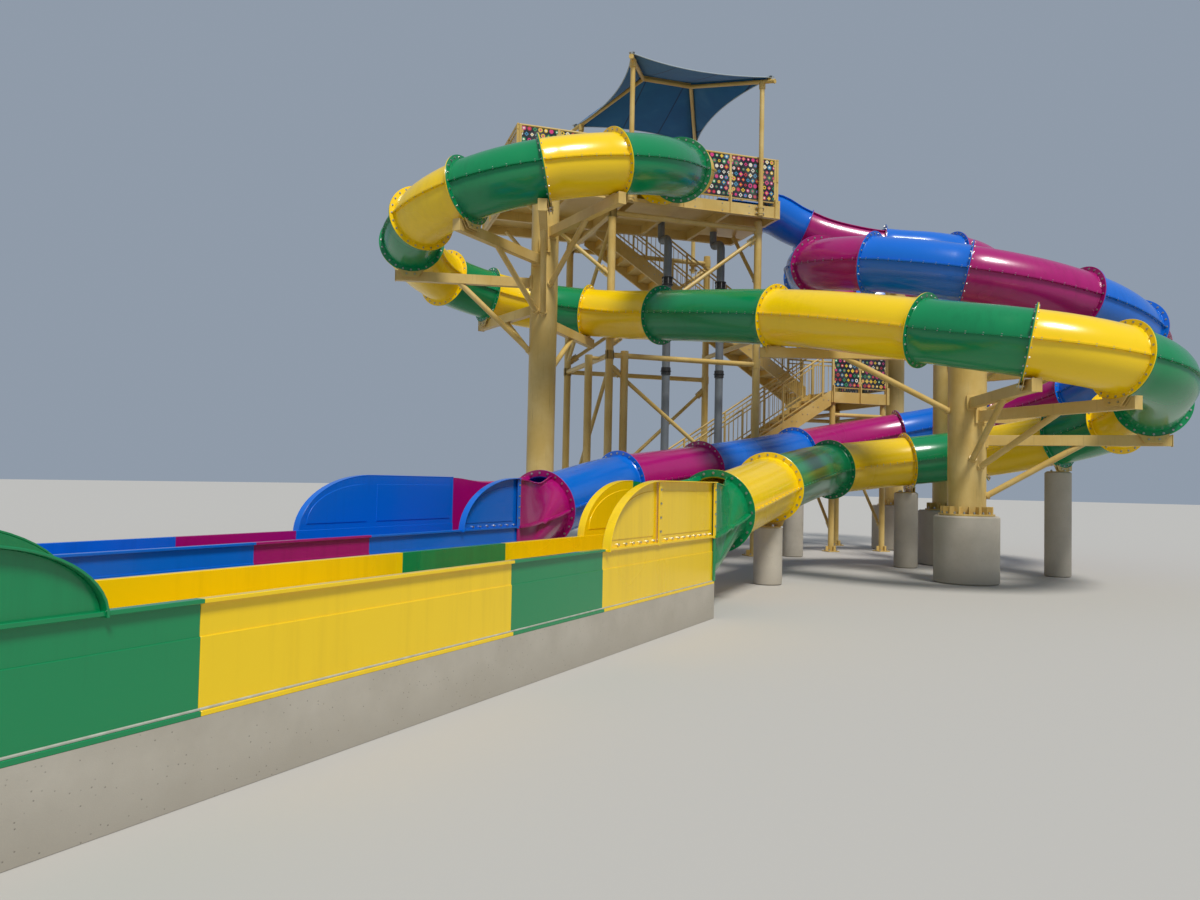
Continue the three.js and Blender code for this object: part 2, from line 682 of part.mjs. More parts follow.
// Platform deck with channel fascias and joists, notched for the stair, with a sunk tray for each
// start tub.
const TUB_LENGTH = 1150;
const TUB_A_X = -850;
const TUB_B_Y = -709;
const TUB_CENTRE = 8000;
const trayFloor = TUB_CENTRE - FLUME_RADIUS - FIT_GAP;

function deckSolid(x0, x1, y0, y1, top) {
  const bottom = top - FASCIA_DEPTH;
  const solids = [boxSolid(x0, x1, y0, y1, top - DECK_THICKNESS, top)];
  for (const y of [y0, y1 - 70]) solids.push(boxSolid(x0, x1, y, y + 70, bottom, top - 10));
  for (const x of [x0, x1 - 70]) solids.push(boxSolid(x, x + 70, y0, y1, bottom, top - 10));
  const bays = Math.max(1, Math.round((x1 - x0) / 1200));
  for (let i = 1; i < bays; i += 1) {
    const x = x0 + ((x1 - x0) * i) / bays;
    solids.push(boxSolid(x - 40, x + 40, y0, y1, bottom, top - 10));
  }
  return joined(solids);
}
const trayA = [TUB_A_X - 520, TUB_A_X + 520, PLATFORM_FRONT, PLATFORM_FRONT + TUB_LENGTH + 60];
const trayB = [PLATFORM_RIGHT - TUB_LENGTH - 60, PLATFORM_RIGHT, TUB_B_Y - 520, TUB_B_Y + 520];
let platform = deckSolid(PLATFORM_LEFT, PLATFORM_RIGHT, PLATFORM_FRONT, PLATFORM_BACK, PLATFORM_FLOOR)
  .add(deckSolid(PLATFORM_LEFT, STAIR_TOP_X, PLATFORM_BACK - 100, PLATFORM_TAIL_BACK, PLATFORM_FLOOR));
for (const [x0, x1, y0, y1] of [trayA, trayB]) {
  platform = platform.add(boxSolid(x0, x1, y0, y1, underside, PLATFORM_FLOOR));
}
platform = platform
  .subtract(boxSolid(trayA[0] + 40, trayA[1] - 40, trayA[2] - 10, trayA[3] - 40, trayFloor, 9000))
  .subtract(boxSolid(trayB[0] + 40, trayB[1] + 10, trayB[2] + 40, trayB[3] - 40, trayFloor, 9000));
addPart(tower, 'platform', geometryOf(platform), paint(TAN, 0.6));

// Start tubs: open troughs with a closed end that lead into the flumes.
function tubSolid() {
  const count = 10;
  const outline = (radius, y) => {
    const points = [];
    for (let i = 0; i <= count; i += 1) {
      const angle = (Math.PI * i) / count;
      points.push(new THREE.Vector3(radius * Math.cos(angle), y, -radius * Math.sin(angle)));
    }
    return points;
  };
  const y0 = FIT_GAP;
  const shell = solidOf(troughGeometry(
    [outline(FLUME_RADIUS, y0), outline(FLUME_RADIUS, TUB_LENGTH)],
    [outline(FLUME_INNER_RADIUS, y0), outline(FLUME_INNER_RADIUS, TUB_LENGTH)]));
  const disc = new THREE.CylinderGeometry(FLUME_RADIUS, FLUME_RADIUS, 30, 20);
  disc.translate(0, TUB_LENGTH - 15, 0);
  const end = solidOf(disc).intersect(boxSolid(-600, 600, 0, TUB_LENGTH, -600, 0));
  return shell.add(end);
}
const tubA = tubSolid().translate([TUB_A_X, PLATFORM_FRONT, TUB_CENTRE]);
addPart(tower, 'a_start_tub', geometryOf(tubA), paint(YELLOW));
const tubB = tubSolid().rotate([0, 0, 90]).translate([PLATFORM_RIGHT, TUB_B_Y, TUB_CENTRE]);
addPart(tower, 'b_start_tub', geometryOf(tubB), paint(MAGENTA));

// Guards: square posts, three rails and, on the faces seen from the front, flat infill panels.
function guardSolid([x0, y0], [x1, y1], floor, panel = false) {
  const length = Math.hypot(x1 - x0, y1 - y0);
  const ux = (x1 - x0) / length;
  const uy = (y1 - y0) / length;
  const at = (d, z) => [x0 + ux * d, y0 + uy * d, z];
  const solids = [];
  const count = Math.max(1, Math.round(length / 1150));
  for (let i = 0; i <= count; i += 1) {
    const d = 25 + ((length - 50) * i) / count;
    solids.push(barSolid(at(d, floor + FIT_GAP), at(d, floor + GUARD_HEIGHT - 5), 50, 50));
  }
  for (const [z, size] of [[GUARD_HEIGHT - 20, 44], [560, 30], [110, 30]]) {
    solids.push(barSolid(at(25, floor + z), at(length - 25, floor + z), size, size));
  }
  if (panel) solids.push(barSolid(at(25, floor + 580), at(length - 25, floor + 580), 10, 930));
  return joined(solids);
}
const edge = 45;
const frontY = PLATFORM_FRONT + edge;
const rightX = PLATFORM_RIGHT - edge;
const leftX = PLATFORM_LEFT + edge;
const backY = PLATFORM_BACK - edge;
const tailY = PLATFORM_TAIL_BACK - edge;
const guards = [
  ['guard_front_left', true, [[[leftX + 30, frontY], [TUB_A_X - 560, frontY]]]],
  ['guard_front_right', true, [[[TUB_A_X + 560, frontY], [rightX - 30, frontY]]]],
  ['guard_right', true, [[[rightX, frontY - 25], [rightX, TUB_B_Y - 500]]]],
  ['guard_back', false, [[[rightX, TUB_B_Y + 500], [rightX, backY + 25]],
    [[STAIR_TOP_X, backY], [rightX, backY]]]],
  ['guard_left', false, [[[leftX, frontY - 25], [leftX, tailY + 25]],
    [[leftX, tailY], [STAIR_TOP_X - 30, tailY]]]],
];
for (const [name, panel, runs] of guards) {
  const solids = runs.map(([from, to]) => guardSolid(from, to, PLATFORM_FLOOR, panel));
  addPart(tower, name, geometryOf(joined(solids)), paint(TAN, 0.5));
}

// Half-way landing on its own four posts.
addPart(tower, 'landing', geometryOf(deckSolid(LANDING_LEFT, LANDING_RIGHT, LOWER_FLIGHT_Y[0] - 30,
  UPPER_FLIGHT_Y[1] + 40, LANDING_FLOOR)), paint(TAN, 0.6));
const landingTop = LANDING_FLOOR - FASCIA_DEPTH - FIT_GAP;
const landingX = [LANDING_LEFT + 90, LANDING_RIGHT - 90];
const landingY = [LOWER_FLIGHT_Y[0] + 90, UPPER_FLIGHT_Y[1] - 60];
const landingSolids = [];
for (const x of landingX) {
  for (const y of landingY) {
    landingSolids.push(columnSolid(x, y, 25, landingTop, 70, 12));
    landingSolids.push(boxSolid(x - 150, x + 150, y - 150, y + 150, 0, 26));
  }
  landingSolids.push(rodSolid([x, landingY[0], 3300], [x, landingY[1], 3300], 50));
  landingSolids.push(rodSolid([x, landingY[0], 500], [x, landingY[1], 3150], 38));
}
landingSolids.push(rodSolid([landingX[0], landingY[1], 3300], [landingX[1], landingY[1], 3300], 50));
landingSolids.push(rodSolid([landingX[0], landingY[0], 3300], [landingX[1], landingY[0], 3300], 50));
addPart(tower, 'landing_frame', geometryOf(joined(landingSolids)), paint(TAN, 0.5));
const landingEdgeX = LANDING_RIGHT - edge;
const landingRuns = [
  [[LANDING_LEFT + 20, LOWER_FLIGHT_Y[0] + 5], [landingEdgeX, LOWER_FLIGHT_Y[0] + 5]],
  [[landingEdgeX, LOWER_FLIGHT_Y[0] - 20], [landingEdgeX, UPPER_FLIGHT_Y[1] + 25]],
  [[LANDING_LEFT + 20, UPPER_FLIGHT_Y[1]], [landingEdgeX, UPPER_FLIGHT_Y[1]]],
];
const landingGuard = joined(landingRuns.map(([from, to], i) => guardSolid(from, to, LANDING_FLOOR, i < 2)));
addPart(tower, 'landing_guard', geometryOf(landingGuard), paint(TAN, 0.5));

// A plate cut to a polygon in the length and height plane of a flight.
function flightPlate(points, y0, y1) {
  const shape = new THREE.Shape();
  points.forEach(([x, z], i) => (i === 0 ? shape.moveTo(x, z) : shape.lineTo(x, z)));
  const geometry = new THREE.ExtrudeGeometry(shape, { depth: y1 - y0, bevelEnabled: false });
  geometry.applyMatrix4(new THREE.Matrix4().makeBasis(
    new THREE.Vector3(1, 0, 0), new THREE.Vector3(0, 0, 1), new THREE.Vector3(0, -1, 0)));
  geometry.translate(0, y1, 0);
  return solidOf(geometry);
}

const FLIGHT_LENGTH = LANDING_LEFT - STAIR_TOP_X;
const RISE = LANDING_FLOOR / RISERS_PER_FLIGHT;
const GOING = FLIGHT_LENGTH / (RISERS_PER_FLIGHT - 1);

// One flight from x = from toward x = to, rising from the base level, between two stringers.
function flightSolids(from, to, base, [y0, y1]) {
  const way = Math.sign(to - from);
  const nose = (d) => base + RISE * (d / GOING + 1);
  const x = (d) => from + way * d;
  const end = FLIGHT_LENGTH - FIT_GAP;
  const solids = [];
  const low = base === 0 ? [[FIT_GAP, base], [(330 / RISE - 1) * GOING, base]]
    : [[FIT_GAP, nose(0) - 330]];
  const outline = [...low, [end, nose(end) - 330], [end, nose(end) + 30], [FIT_GAP, nose(0) + 30]];
  for (const y of [y0, y1 - 50]) solids.push(flightPlate(outline.map(([d, z]) => [x(d), z]), y, y + 50));
  for (let i = 1; i < RISERS_PER_FLIGHT; i += 1) {
    const d0 = GOING * (i - 1) + (i === 1 ? 2 : -20);
    const d1 = Math.min(GOING * i + 8, end - 1);
    const xs = [x(d0), x(d1)].sort((a, b) => a - b);
    solids.push(boxSolid(xs[0], xs[1], y0 + 40, y1 - 40, base + RISE * i - 42, base + RISE * i));
  }
  const rails = [y0, y1 - 50].map((y) => {
    const parts = [];
    const first = GOING * 0.5;
    const last = FLIGHT_LENGTH - GOING * 0.8;
    for (let i = 0; i <= 5; i += 1) {
      const d = first + ((last - first) * i) / 5;
      parts.push(flightPlate([[x(d - 20), nose(d - 20) + 30.6], [x(d + 20), nose(d + 20) + 30.6],
        [x(d + 20), nose(d + 20) + 985], [x(d - 20), nose(d - 20) + 985]], y + 5, y + 45));
    }
    for (const [h, size] of [[985, 44], [520, 30], [120, 30]]) {
      parts.push(barSolid([x(first), y + 25, nose(first) + h], [x(last), y + 25, nose(last) + h], size, size));
    }
    return joined(parts);
  });
  return { flight: joined(solids), rails };
}
const lower = flightSolids(STAIR_TOP_X, LANDING_LEFT, 0, LOWER_FLIGHT_Y);
const upper = flightSolids(LANDING_LEFT, STAIR_TOP_X, LANDING_FLOOR, UPPER_FLIGHT_Y);
addPart(tower, 'lower_flight', geometryOf(lower.flight), paint(TAN, 0.6));
addPart(tower, 'upper_flight', geometryOf(upper.flight), paint(TAN, 0.6));
addPart(tower, 'lower_rail_front', geometryOf(lower.rails[0]), paint(TAN, 0.5));
addPart(tower, 'lower_rail_back', geometryOf(lower.rails[1]), paint(TAN, 0.5));
addPart(tower, 'upper_rail_front', geometryOf(upper.rails[0]), paint(TAN, 0.5));
addPart(tower, 'upper_rail_back', geometryOf(upper.rails[1]), paint(TAN, 0.5));

// Canopy: four posts clamped to the platform's outer faces carry a hipped pipe frame and a sail.
const EAVE = 10430;
const RIDGE = 10950;
const canopyPosts = [[-1500, PLATFORM_FRONT - 52.4, 7445], [1520, PLATFORM_FRONT - 52.4, 7445],
  [-1550, PLATFORM_TAIL_BACK + 52.4, 7445], [1550, 1760, 7000]];
const ridgeEnds = [[-600, -150, RIDGE], [600, -150, RIDGE]];
const SAIL_LIFT = 83;
const canopySolids = [
  rodSolid(ridgeEnds[0], ridgeEnds[1], 45),
  boxSolid(-600, 600, -153, -147, RIDGE, RIDGE + SAIL_LIFT - 1.2),
];
for (const [x, y, z0] of canopyPosts) {
  canopySolids.push(columnSolid(x, y, z0, EAVE + 20, 52, 10));
  const end = ridgeEnds[x < 0 ? 0 : 1];
  const length = Math.hypot(x - end[0], y - end[1]);
  const outX = (x - end[0]) / length;
  const outY = (y - end[1]) / length;
  const drop = (RIDGE - EAVE) / length;
  const rafter = (d, lift) => [x + outX * d, y + outY * d, EAVE - drop * d + lift];
  canopySolids.push(rodSolid(end, rafter(330, 0), 45));
  canopySolids.push(barSolid(rafter(150, 58), rafter(230, 58), 6, 42));
}

addPart(tower, 'canopy_frame', geometryOf(joined(canopySolids)), paint(TAN, 0.5));

// Sail over the pipe frame, its edges drawn in between the corners.
const SAIL_THICKNESS = 12;
const SAIL_STEPS = 4;
const sailCorners = [canopyPosts[0], canopyPosts[1], canopyPosts[3], canopyPosts[2]].map(([x, y]) => {
  const end = ridgeEnds[x < 0 ? 0 : 1];
  const length = Math.hypot(x - end[0], y - end[1]);
  const reach = (length + 270) / length;
  return [end[0] + (x - end[0]) * reach, end[1] + (y - end[1]) * reach, RIDGE - (RIDGE - EAVE) * reach];
});

// Rows of points from the ridge (0) out to the edge (1), each once round the sail.
function sailRow(out, lift) {
  const row = [];
  for (let side = 0; side < 4; side += 1) {
    const a = sailCorners[side];
    const b = sailCorners[(side + 1) % 4];
    const ends = [ridgeEnds[a[0] < 0 ? 0 : 1], ridgeEnds[b[0] < 0 ? 0 : 1]];
    for (let i = 0; i < SAIL_STEPS; i += 1) {
      const w = i / SAIL_STEPS;
      const bow = 4 * w * (1 - w);
      const inner = ends[0].map((v, n) => v + (ends[1][n] - v) * w);
      const outer = a.map((v, n) => v + (b[n] - v) * w);
      const middle = [(a[0] + b[0]) / 2, (a[1] + b[1]) / 2];
      const pull = (330 * bow) / Math.hypot(middle[0], middle[1] + 150);
      outer[0] -= middle[0] * pull;
      outer[1] -= (middle[1] + 150) * pull;
      outer[2] += 20 * bow;
      const point = inner.map((v, n) => v + (outer[n] - v) * out);
      const sag = 25 * bow * Math.sin(Math.PI * out);
      row.push(new THREE.Vector3(point[0], point[1], point[2] + SAIL_LIFT + lift - sag));
    }
  }
  return row;
}
const sailStops = [0, 0.33, 0.67, 1];
const sailTop = sailStops.map((out) => sailRow(out, SAIL_THICKNESS));
const sailUnder = sailStops.map((out) => sailRow(out, 0));
const sailFaces = [];
skin(sailTop, sailFaces, true, true);
skin(sailUnder, sailFaces, false, true);
skin([sailTop[3], sailUnder[3]], sailFaces, true, true);
addPart(tower, 'canopy_sail', geometryFromFaces(sailFaces), paint(SAIL_BLUE, 0.8));

// Grey riser pipes from the ground to the start tubs, each with a bend under the platform.
for (const [name, x, y, end] of [
  ['riser_a', -200, -900, PLATFORM_FLOOR - DECK_THICKNESS - 0.3], ['riser_b', 1100, -900, underside - 0.3],
]) {
  const riser = joined([
    columnSolid(x, y, 0, 7150, 90, 12),
    columnSolid(x, y, 0, 60, 150, 12),
    columnSolid(x, y, 6000, 6160, 130, 12),
    rodSolid([x, y, 7080], [x, y + 500, 7080], 80, 10),
    columnSolid(x, y + 440, 7040, end, 80, 10),
  ]);
  addPart(tower, name, geometryOf(riser), paint(PIPE_GREY, 0.6));
}

export default slide;
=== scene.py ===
# %% [markdown]
# # A water slide tower, dressed piece by piece
# Two closed body slides wind down from one stair tower to two run-out lanes. CAD gives every solid its
# place and size. This lesson gives them their moulded sections, bolts, welds, paint and weathering.
# Lengths are metres and the object stands on z = 0.

# %% Load the solids
import math

import bpy
import numpy as np
from mathutils import Matrix, Vector


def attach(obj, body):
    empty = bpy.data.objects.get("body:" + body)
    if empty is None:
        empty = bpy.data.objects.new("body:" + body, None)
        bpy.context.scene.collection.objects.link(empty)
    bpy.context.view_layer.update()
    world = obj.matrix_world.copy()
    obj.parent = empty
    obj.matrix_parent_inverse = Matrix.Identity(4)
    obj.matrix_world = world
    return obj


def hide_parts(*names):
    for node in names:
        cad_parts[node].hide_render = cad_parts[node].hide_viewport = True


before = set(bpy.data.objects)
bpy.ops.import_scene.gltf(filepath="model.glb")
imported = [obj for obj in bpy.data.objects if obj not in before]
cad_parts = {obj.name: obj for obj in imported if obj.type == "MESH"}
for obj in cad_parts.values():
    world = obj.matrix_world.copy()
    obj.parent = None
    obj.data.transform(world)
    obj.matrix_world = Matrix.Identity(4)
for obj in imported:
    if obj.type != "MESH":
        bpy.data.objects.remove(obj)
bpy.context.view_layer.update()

# %% [markdown]
# ## The camera, the floor and the light
# The camera stands 1.55 m above the floor near the run-out ends, at eye height, with a 27 mm lens.
# A plain pale floor and a soft, wide key light keep the looks of the piece itself easy to judge.

# %% Camera, floor and light
view_data = bpy.data.cameras.new("main_view")
view_data.lens = 27.0
view_data.sensor_fit = "HORIZONTAL"
view_data.sensor_width = 36.0
view_data.clip_end = 400.0
main_view = bpy.data.objects.new("main_view", view_data)
bpy.context.scene.collection.objects.link(main_view)
look = Matrix.Rotation(math.radians(27.47), 4, "Z")
look = look @ Matrix.Rotation(math.radians(90 + 2.05), 4, "X")
look = look @ Matrix.Rotation(math.radians(1.2), 4, "Z")
main_view.matrix_world = Matrix.Translation((5.355, -13.932, 1.55)) @ look
bpy.context.scene.camera = main_view

key_data = bpy.data.lights.new("key", "SUN")
key_data.energy = 2.9
key_data.angle = math.radians(14)
key_data.color = (1.0, 0.97, 0.92)
key_light = bpy.data.objects.new("key", key_data)
key_light.rotation_euler = (math.radians(28), math.radians(22), math.radians(12))
bpy.context.scene.collection.objects.link(key_light)

sky = bpy.data.worlds.new("soft_room")
sky.use_nodes = True
sky.node_tree.nodes["Background"].inputs["Color"].default_value = (0.66, 0.78, 0.95, 1.0)
sky.node_tree.nodes["Background"].inputs["Strength"].default_value = 0.42
bpy.context.scene.world = sky
bpy.context.scene.view_settings.view_transform = "Standard"

# %% [markdown]
# ## Small helpers
# Every piece is modelled with its place in its mesh, so its object stays at the origin. Only one object
# is selected before each step, because an operator acts on all that is selected.

# %% Helpers for objects
def take(thing):
    """Makes one object the only selected and the active one."""
    bpy.ops.object.select_all(action="DESELECT")
    thing.select_set(True)
    bpy.context.view_layer.objects.active = thing
    return thing


def join(things, name):
    """Makes one object of several."""
    bpy.ops.object.select_all(action="DESELECT")
    for thing in things:
        thing.select_set(True)
    bpy.context.view_layer.objects.active = things[0]
    if len(things) > 1:
        bpy.ops.object.join()
    whole = bpy.context.view_layer.objects.active
    whole.name = name
    whole.data.name = name
    return whole


def copy_of(thing, placing):
    """A copy with a mesh of its own, moved by a matrix."""
    twin = thing.copy()
    twin.data = thing.data.copy()
    bpy.context.scene.collection.objects.link(twin)
    twin.data.transform(placing)
    return twin


def apply_modifier(thing, kind, **settings):
    """Adds one modifier and applies it."""
    take(thing)
    modifier = thing.modifiers.new(kind.lower(), kind)
    for name, value in settings.items():
        setattr(modifier, name, value)
    bpy.ops.object.modifier_apply(modifier=modifier.name)
    return thing


def repeat(thing, count, offset):
    """Copies a piece in a straight row, each copy moved on by offset."""
    return apply_modifier(thing, "ARRAY", count=count, use_relative_offset=False, use_constant_offset=True,
                          constant_offset_displace=offset)


def painted(thing, material):
    """Gives a new part its material."""
    thing.data.materials.append(material)
    return thing


def mesh_object(name, points, faces):
    """An object made from points and faces."""
    mesh = bpy.data.meshes.new(name)
    mesh.from_pydata([tuple(p) for p in points], [], faces)
    thing = bpy.data.objects.new(name, mesh)
    bpy.context.scene.collection.objects.link(thing)
    return take(thing)


def finish_edit(weld=0.0):
    """Welds points closer than weld, turns the faces outwards and leaves edit mode."""
    bpy.ops.mesh.select_all(action="SELECT")
    if weld:
        bpy.ops.mesh.remove_doubles(threshold=weld)
    bpy.ops.mesh.normals_make_consistent(inside=False)
    bpy.ops.object.mode_set(mode="OBJECT")


def quarter(axis):
    """A quarter turn about an axis."""
    return Matrix.Rotation(math.pi / 2, 4, axis)


def step_up(z):
    """A step straight up."""
    return Vector((0, 0, z))


def laid_along(a, b):
    """Carries a piece modelled along Y, centred on the origin, to the line from a to b."""
    a, b = Vector(a), Vector(b)
    along = (b - a).normalized()
    up = Vector((1, 0, 0)) if abs(along.z) > 0.95 else Vector((0, 0, 1))
    side = along.cross(up).normalized()
    turn = Matrix((side, along, side.cross(along))).transposed().to_4x4()
    return Matrix.Translation((a + b) / 2) @ turn


def bar(a, b, width, height):
    """A flat or square bar from a to b."""
    bpy.ops.mesh.primitive_cube_add(size=1)
    thing = bpy.context.object
    thing.data.transform(Matrix.Diagonal((width, (Vector(b) - Vector(a)).length, height, 1)))
    thing.data.transform(laid_along(a, b))
    return thing


def pipe(a, b, radius, sides=20):
    """A round pipe from a to b."""
    length = (Vector(b) - Vector(a)).length
    bpy.ops.mesh.primitive_cylinder_add(vertices=sides, radius=radius, depth=length)
    thing = bpy.context.object
    thing.data.transform(quarter("X"))
    thing.data.transform(laid_along(a, b))
    return thing


def smooth(thing, degrees):
    """Smooths the faces that meet at less than an angle."""
    take(thing)
    bpy.ops.object.shade_smooth_by_angle(angle=math.radians(degrees))
    return thing


def soften(thing, width=0.003, degrees=35):
    """Breaks the sharp edges, as weld grinding and paint do, and smooths the round faces."""
    apply_modifier(thing, "BEVEL", width=width, segments=1, limit_method="ANGLE",
                   angle_limit=math.radians(50))
    return smooth(thing, degrees)


# %% [markdown]
# Ground positions below are measured from the tower's middle. SITE moves them to the frame of the solids,
# and TOWER also turns the tower by an eighth of a circle, as it stands between the flumes.

# %% Where things stand
SITE = Matrix.Translation((-3.109, 5.282, 0.0))
TOWER = SITE @ Matrix.Rotation(math.pi / 4, 4, "Z")
pieces_made = {}


def keep(thing, placing, replaces=()):
    """Puts a finished piece in its place and hides the solids that it stands for."""
    thing.data.transform(placing)
    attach(thing, "root")
    if replaces:
        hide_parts(*replaces)
    pieces_made[thing.name] = len(thing.data.polygons)
    return thing


# %% [markdown]
# ## Materials
# One function turns a given colour into the linear values that the shader wants. Another adds one
# node with its settings and its links, so each material reads as a short recipe.

# %% Helpers for materials
def linear(hex_colour):
    """An sRGB hex colour as linear red, green, blue and alpha."""
    parts = [int(hex_colour[i:i + 2], 16) / 255 for i in (0, 2, 4)]
    return (*[v / 12.92 if v <= 0.04045 else ((v + 0.055) / 1.055) ** 2.4 for v in parts], 1.0)


def add_node(material, kind, settings=(), links=()):
    """Adds one node, sets its values and joins its inputs."""
    node = material.node_tree.nodes.new("ShaderNode" + kind)
    for name, value in dict(settings).items():
        if isinstance(name, str) and hasattr(node, name):
            setattr(node, name, value)
        else:
            node.inputs[name].default_value = value
    for name, source in dict(links).items():
        material.node_tree.links.new(source, node.inputs[name])
    return node


def new_material(name, **sockets):
    """A material and its shader, with the values that are the same all over the surface."""
    material = bpy.data.materials.new(name)
    material.use_nodes = True
    shader = material.node_tree.nodes["Principled BSDF"]
    for socket, value in sockets.items():
        shader.inputs[socket.replace("_", " ")].default_value = value
    return material, shader


def wire(material, shader, **sources):
    """Joins outputs to the shader's inputs."""
    for socket, source in sources.items():
        material.node_tree.links.new(source, shader.inputs[socket.replace("_", " ")])


# %% [markdown]
# Gelcoat is the pigmented polyester skin of moulded fibreglass, waxed and very glossy. Its colour is deep
# and even, with faint runs where splashed water dries and a soft ripple from the glass cloth under it. The
# ripple is really about 8 mm across; it is drawn at 50 mm so that it shows at this distance.

# %% Gelcoat
def gelcoat(name, colour, run_colour):
    """Waxed gelcoat in a colour, with faint runs in another."""
    material, shader = new_material(
        name, IOR=1.50, Coat_Weight=0.25, Coat_Roughness=0.06, Coat_IOR=1.5)
    place = add_node(material, "TexCoord")
    tall = add_node(material, "Mapping", {"Scale": (11.0, 11.0, 0.8)}, {"Vector": place.outputs["Object"]})
    runs = add_node(material, "TexNoise", {"Scale": 1.0, "Detail": 6.0, "Roughness": 0.62},
                    {"Vector": tall.outputs["Vector"]})
    patches = add_node(material, "TexNoise", {"Scale": 0.45, "Detail": 3.0},
                       {"Vector": place.outputs["Object"]})
    where = add_node(material, "Math", {"operation": "MULTIPLY"},
                     {0: runs.outputs["Fac"], 1: patches.outputs["Fac"]})
    amount = add_node(material, "MapRange", {"From Min": 0.26, "From Max": 0.44, "To Max": 0.42},
                      {"Value": where.outputs["Value"]})
    mixed = add_node(material, "Mix", {"data_type": "RGBA", 6: linear(colour), 7: linear(run_colour)},
                     {0: amount.outputs["Result"]})
    gloss = add_node(material, "MapRange", {"To Min": 0.16, "To Max": 0.34},
                     {"Value": patches.outputs["Fac"]})
    ripple = add_node(material, "TexNoise", {"Scale": 20.0, "Detail": 2.0},
                      {"Vector": place.outputs["Object"]})
    bump = add_node(material, "Bump", {"Strength": 0.12, "Distance": 0.004},
                    {"Height": ripple.outputs["Fac"]})
    wire(material, shader, Base_Color=mixed.outputs[2], Roughness=gloss.outputs["Result"],
         Normal=bump.outputs["Normal"])
    return material


yellow_gelcoat = gelcoat("gelcoat_yellow", "f8d000", "e0b800")
green_gelcoat = gelcoat("gelcoat_green", "00874f", "006c40")
blue_gelcoat = gelcoat("gelcoat_blue", "0069d2", "0056ac")
magenta_gelcoat = gelcoat("gelcoat_magenta", "a8096c", "840852")

# %% [markdown]
# The steelwork is mild steel with a sprayed tan enamel. Up close it has a fine orange peel, slightly
# chalky sun-bleached patches and a little dirt in runs below the joints.

# %% Painted steel
def enamel(name, colour, bleached, dirt, roughness):
    """Sprayed enamel with bleached patches and dirt in runs."""
    material, shader = new_material(name, IOR=1.48)
    place = add_node(material, "TexCoord")
    patches = add_node(material, "TexNoise", {"Scale": 1.3, "Detail": 5.0, "Roughness": 0.6},
                       {"Vector": place.outputs["Object"]})
    faded = add_node(material, "MapRange", {"From Min": 0.42, "From Max": 0.68},
                     {"Value": patches.outputs["Fac"]})
    base = add_node(material, "Mix", {"data_type": "RGBA", 6: linear(colour), 7: linear(bleached)},
                    {0: faded.outputs["Result"]})
    tall = add_node(material, "Mapping", {"Scale": (26.0, 26.0, 1.6)}, {"Vector": place.outputs["Object"]})
    runs = add_node(material, "TexNoise", {"Scale": 1.0, "Detail": 8.0, "Roughness": 0.65},
                    {"Vector": tall.outputs["Vector"]})
    dirty = add_node(material, "MapRange", {"From Min": 0.58, "From Max": 0.78, "To Max": 0.55},
                     {"Value": runs.outputs["Fac"]})
    mixed = add_node(material, "Mix", {"data_type": "RGBA", 7: linear(dirt)},
                     {0: dirty.outputs["Result"], 6: base.outputs[2]})
    peel = add_node(material, "TexNoise", {"Scale": 90.0, "Detail": 2.0},
                    {"Vector": place.outputs["Object"]})
    bump = add_node(material, "Bump", {"Strength": 0.18, "Distance": 0.002},
                    {"Height": peel.outputs["Fac"]})
    gloss = add_node(material, "MapRange", {"To Min": roughness - 0.08, "To Max": roughness + 0.14},
                     {"Value": patches.outputs["Fac"]})
    wire(material, shader, Base_Color=mixed.outputs[2], Roughness=gloss.outputs["Result"],
         Normal=bump.outputs["Normal"])
    return material


tan_enamel = enamel("tan_enamel", "c8a85c", "d6bb78", "8f7440", 0.36)
# A yellower and duller batch of the same enamel, on the plates that close the stairs.
sun_enamel = enamel("yellow_tan_enamel", "cc9a34", "dbb052", "8a6a2c", 0.42)

# %% [markdown]
# Bolts are stainless steel, bright against the gelcoat, and brushed by the socket that turned them.

# %% Stainless steel
stainless, shader = new_material("stainless_steel", Metallic=1.0)
place = add_node(stainless, "TexCoord")
smear = add_node(stainless, "TexNoise", {"Scale": 60.0, "Detail": 3.0}, {"Vector": place.outputs["Object"]})
tone = add_node(stainless, "Mix", {"data_type": "RGBA", 6: linear("a9a9a4"), 7: linear("d2d2cc")},
                {0: smear.outputs["Fac"]})
polish = add_node(stainless, "MapRange", {"To Min": 0.24, "To Max": 0.46}, {"Value": smear.outputs["Fac"]})
wire(stainless, shader, Base_Color=tone.outputs[2], Roughness=polish.outputs["Result"])

# %% [markdown]
# Piers and footings are cast concrete: pale grey, with clouds from uneven drying, small air holes a few
# millimetres wide with painted shade in them, and darker damp near the ground.

# %% Cast concrete
concrete, shader = new_material("cast_concrete", IOR=1.5)
place = add_node(concrete, "TexCoord")
clouds = add_node(concrete, "TexNoise", {"Scale": 1.8, "Detail": 8.0, "Roughness": 0.62},
                  {"Vector": place.outputs["Object"]})
base = add_node(concrete, "Mix", {"data_type": "RGBA", 6: linear("9f9788"), 7: linear("c9c2b4")},
                {0: clouds.outputs["Fac"]})
height = add_node(concrete, "SeparateXYZ", (), {"Vector": place.outputs["Object"]})
damp = add_node(concrete, "MapRange", {"From Min": 0.0, "From Max": 0.28, "To Min": 0.45, "To Max": 0.0},
                {"Value": height.outputs["Z"]})
ragged = add_node(concrete, "Math", {"operation": "MULTIPLY"},
                  {0: damp.outputs["Result"], 1: clouds.outputs["Fac"]})
wet = add_node(concrete, "Mix", {"data_type": "RGBA", 7: linear("6f685c")},
               {0: ragged.outputs["Value"], 6: base.outputs[2]})
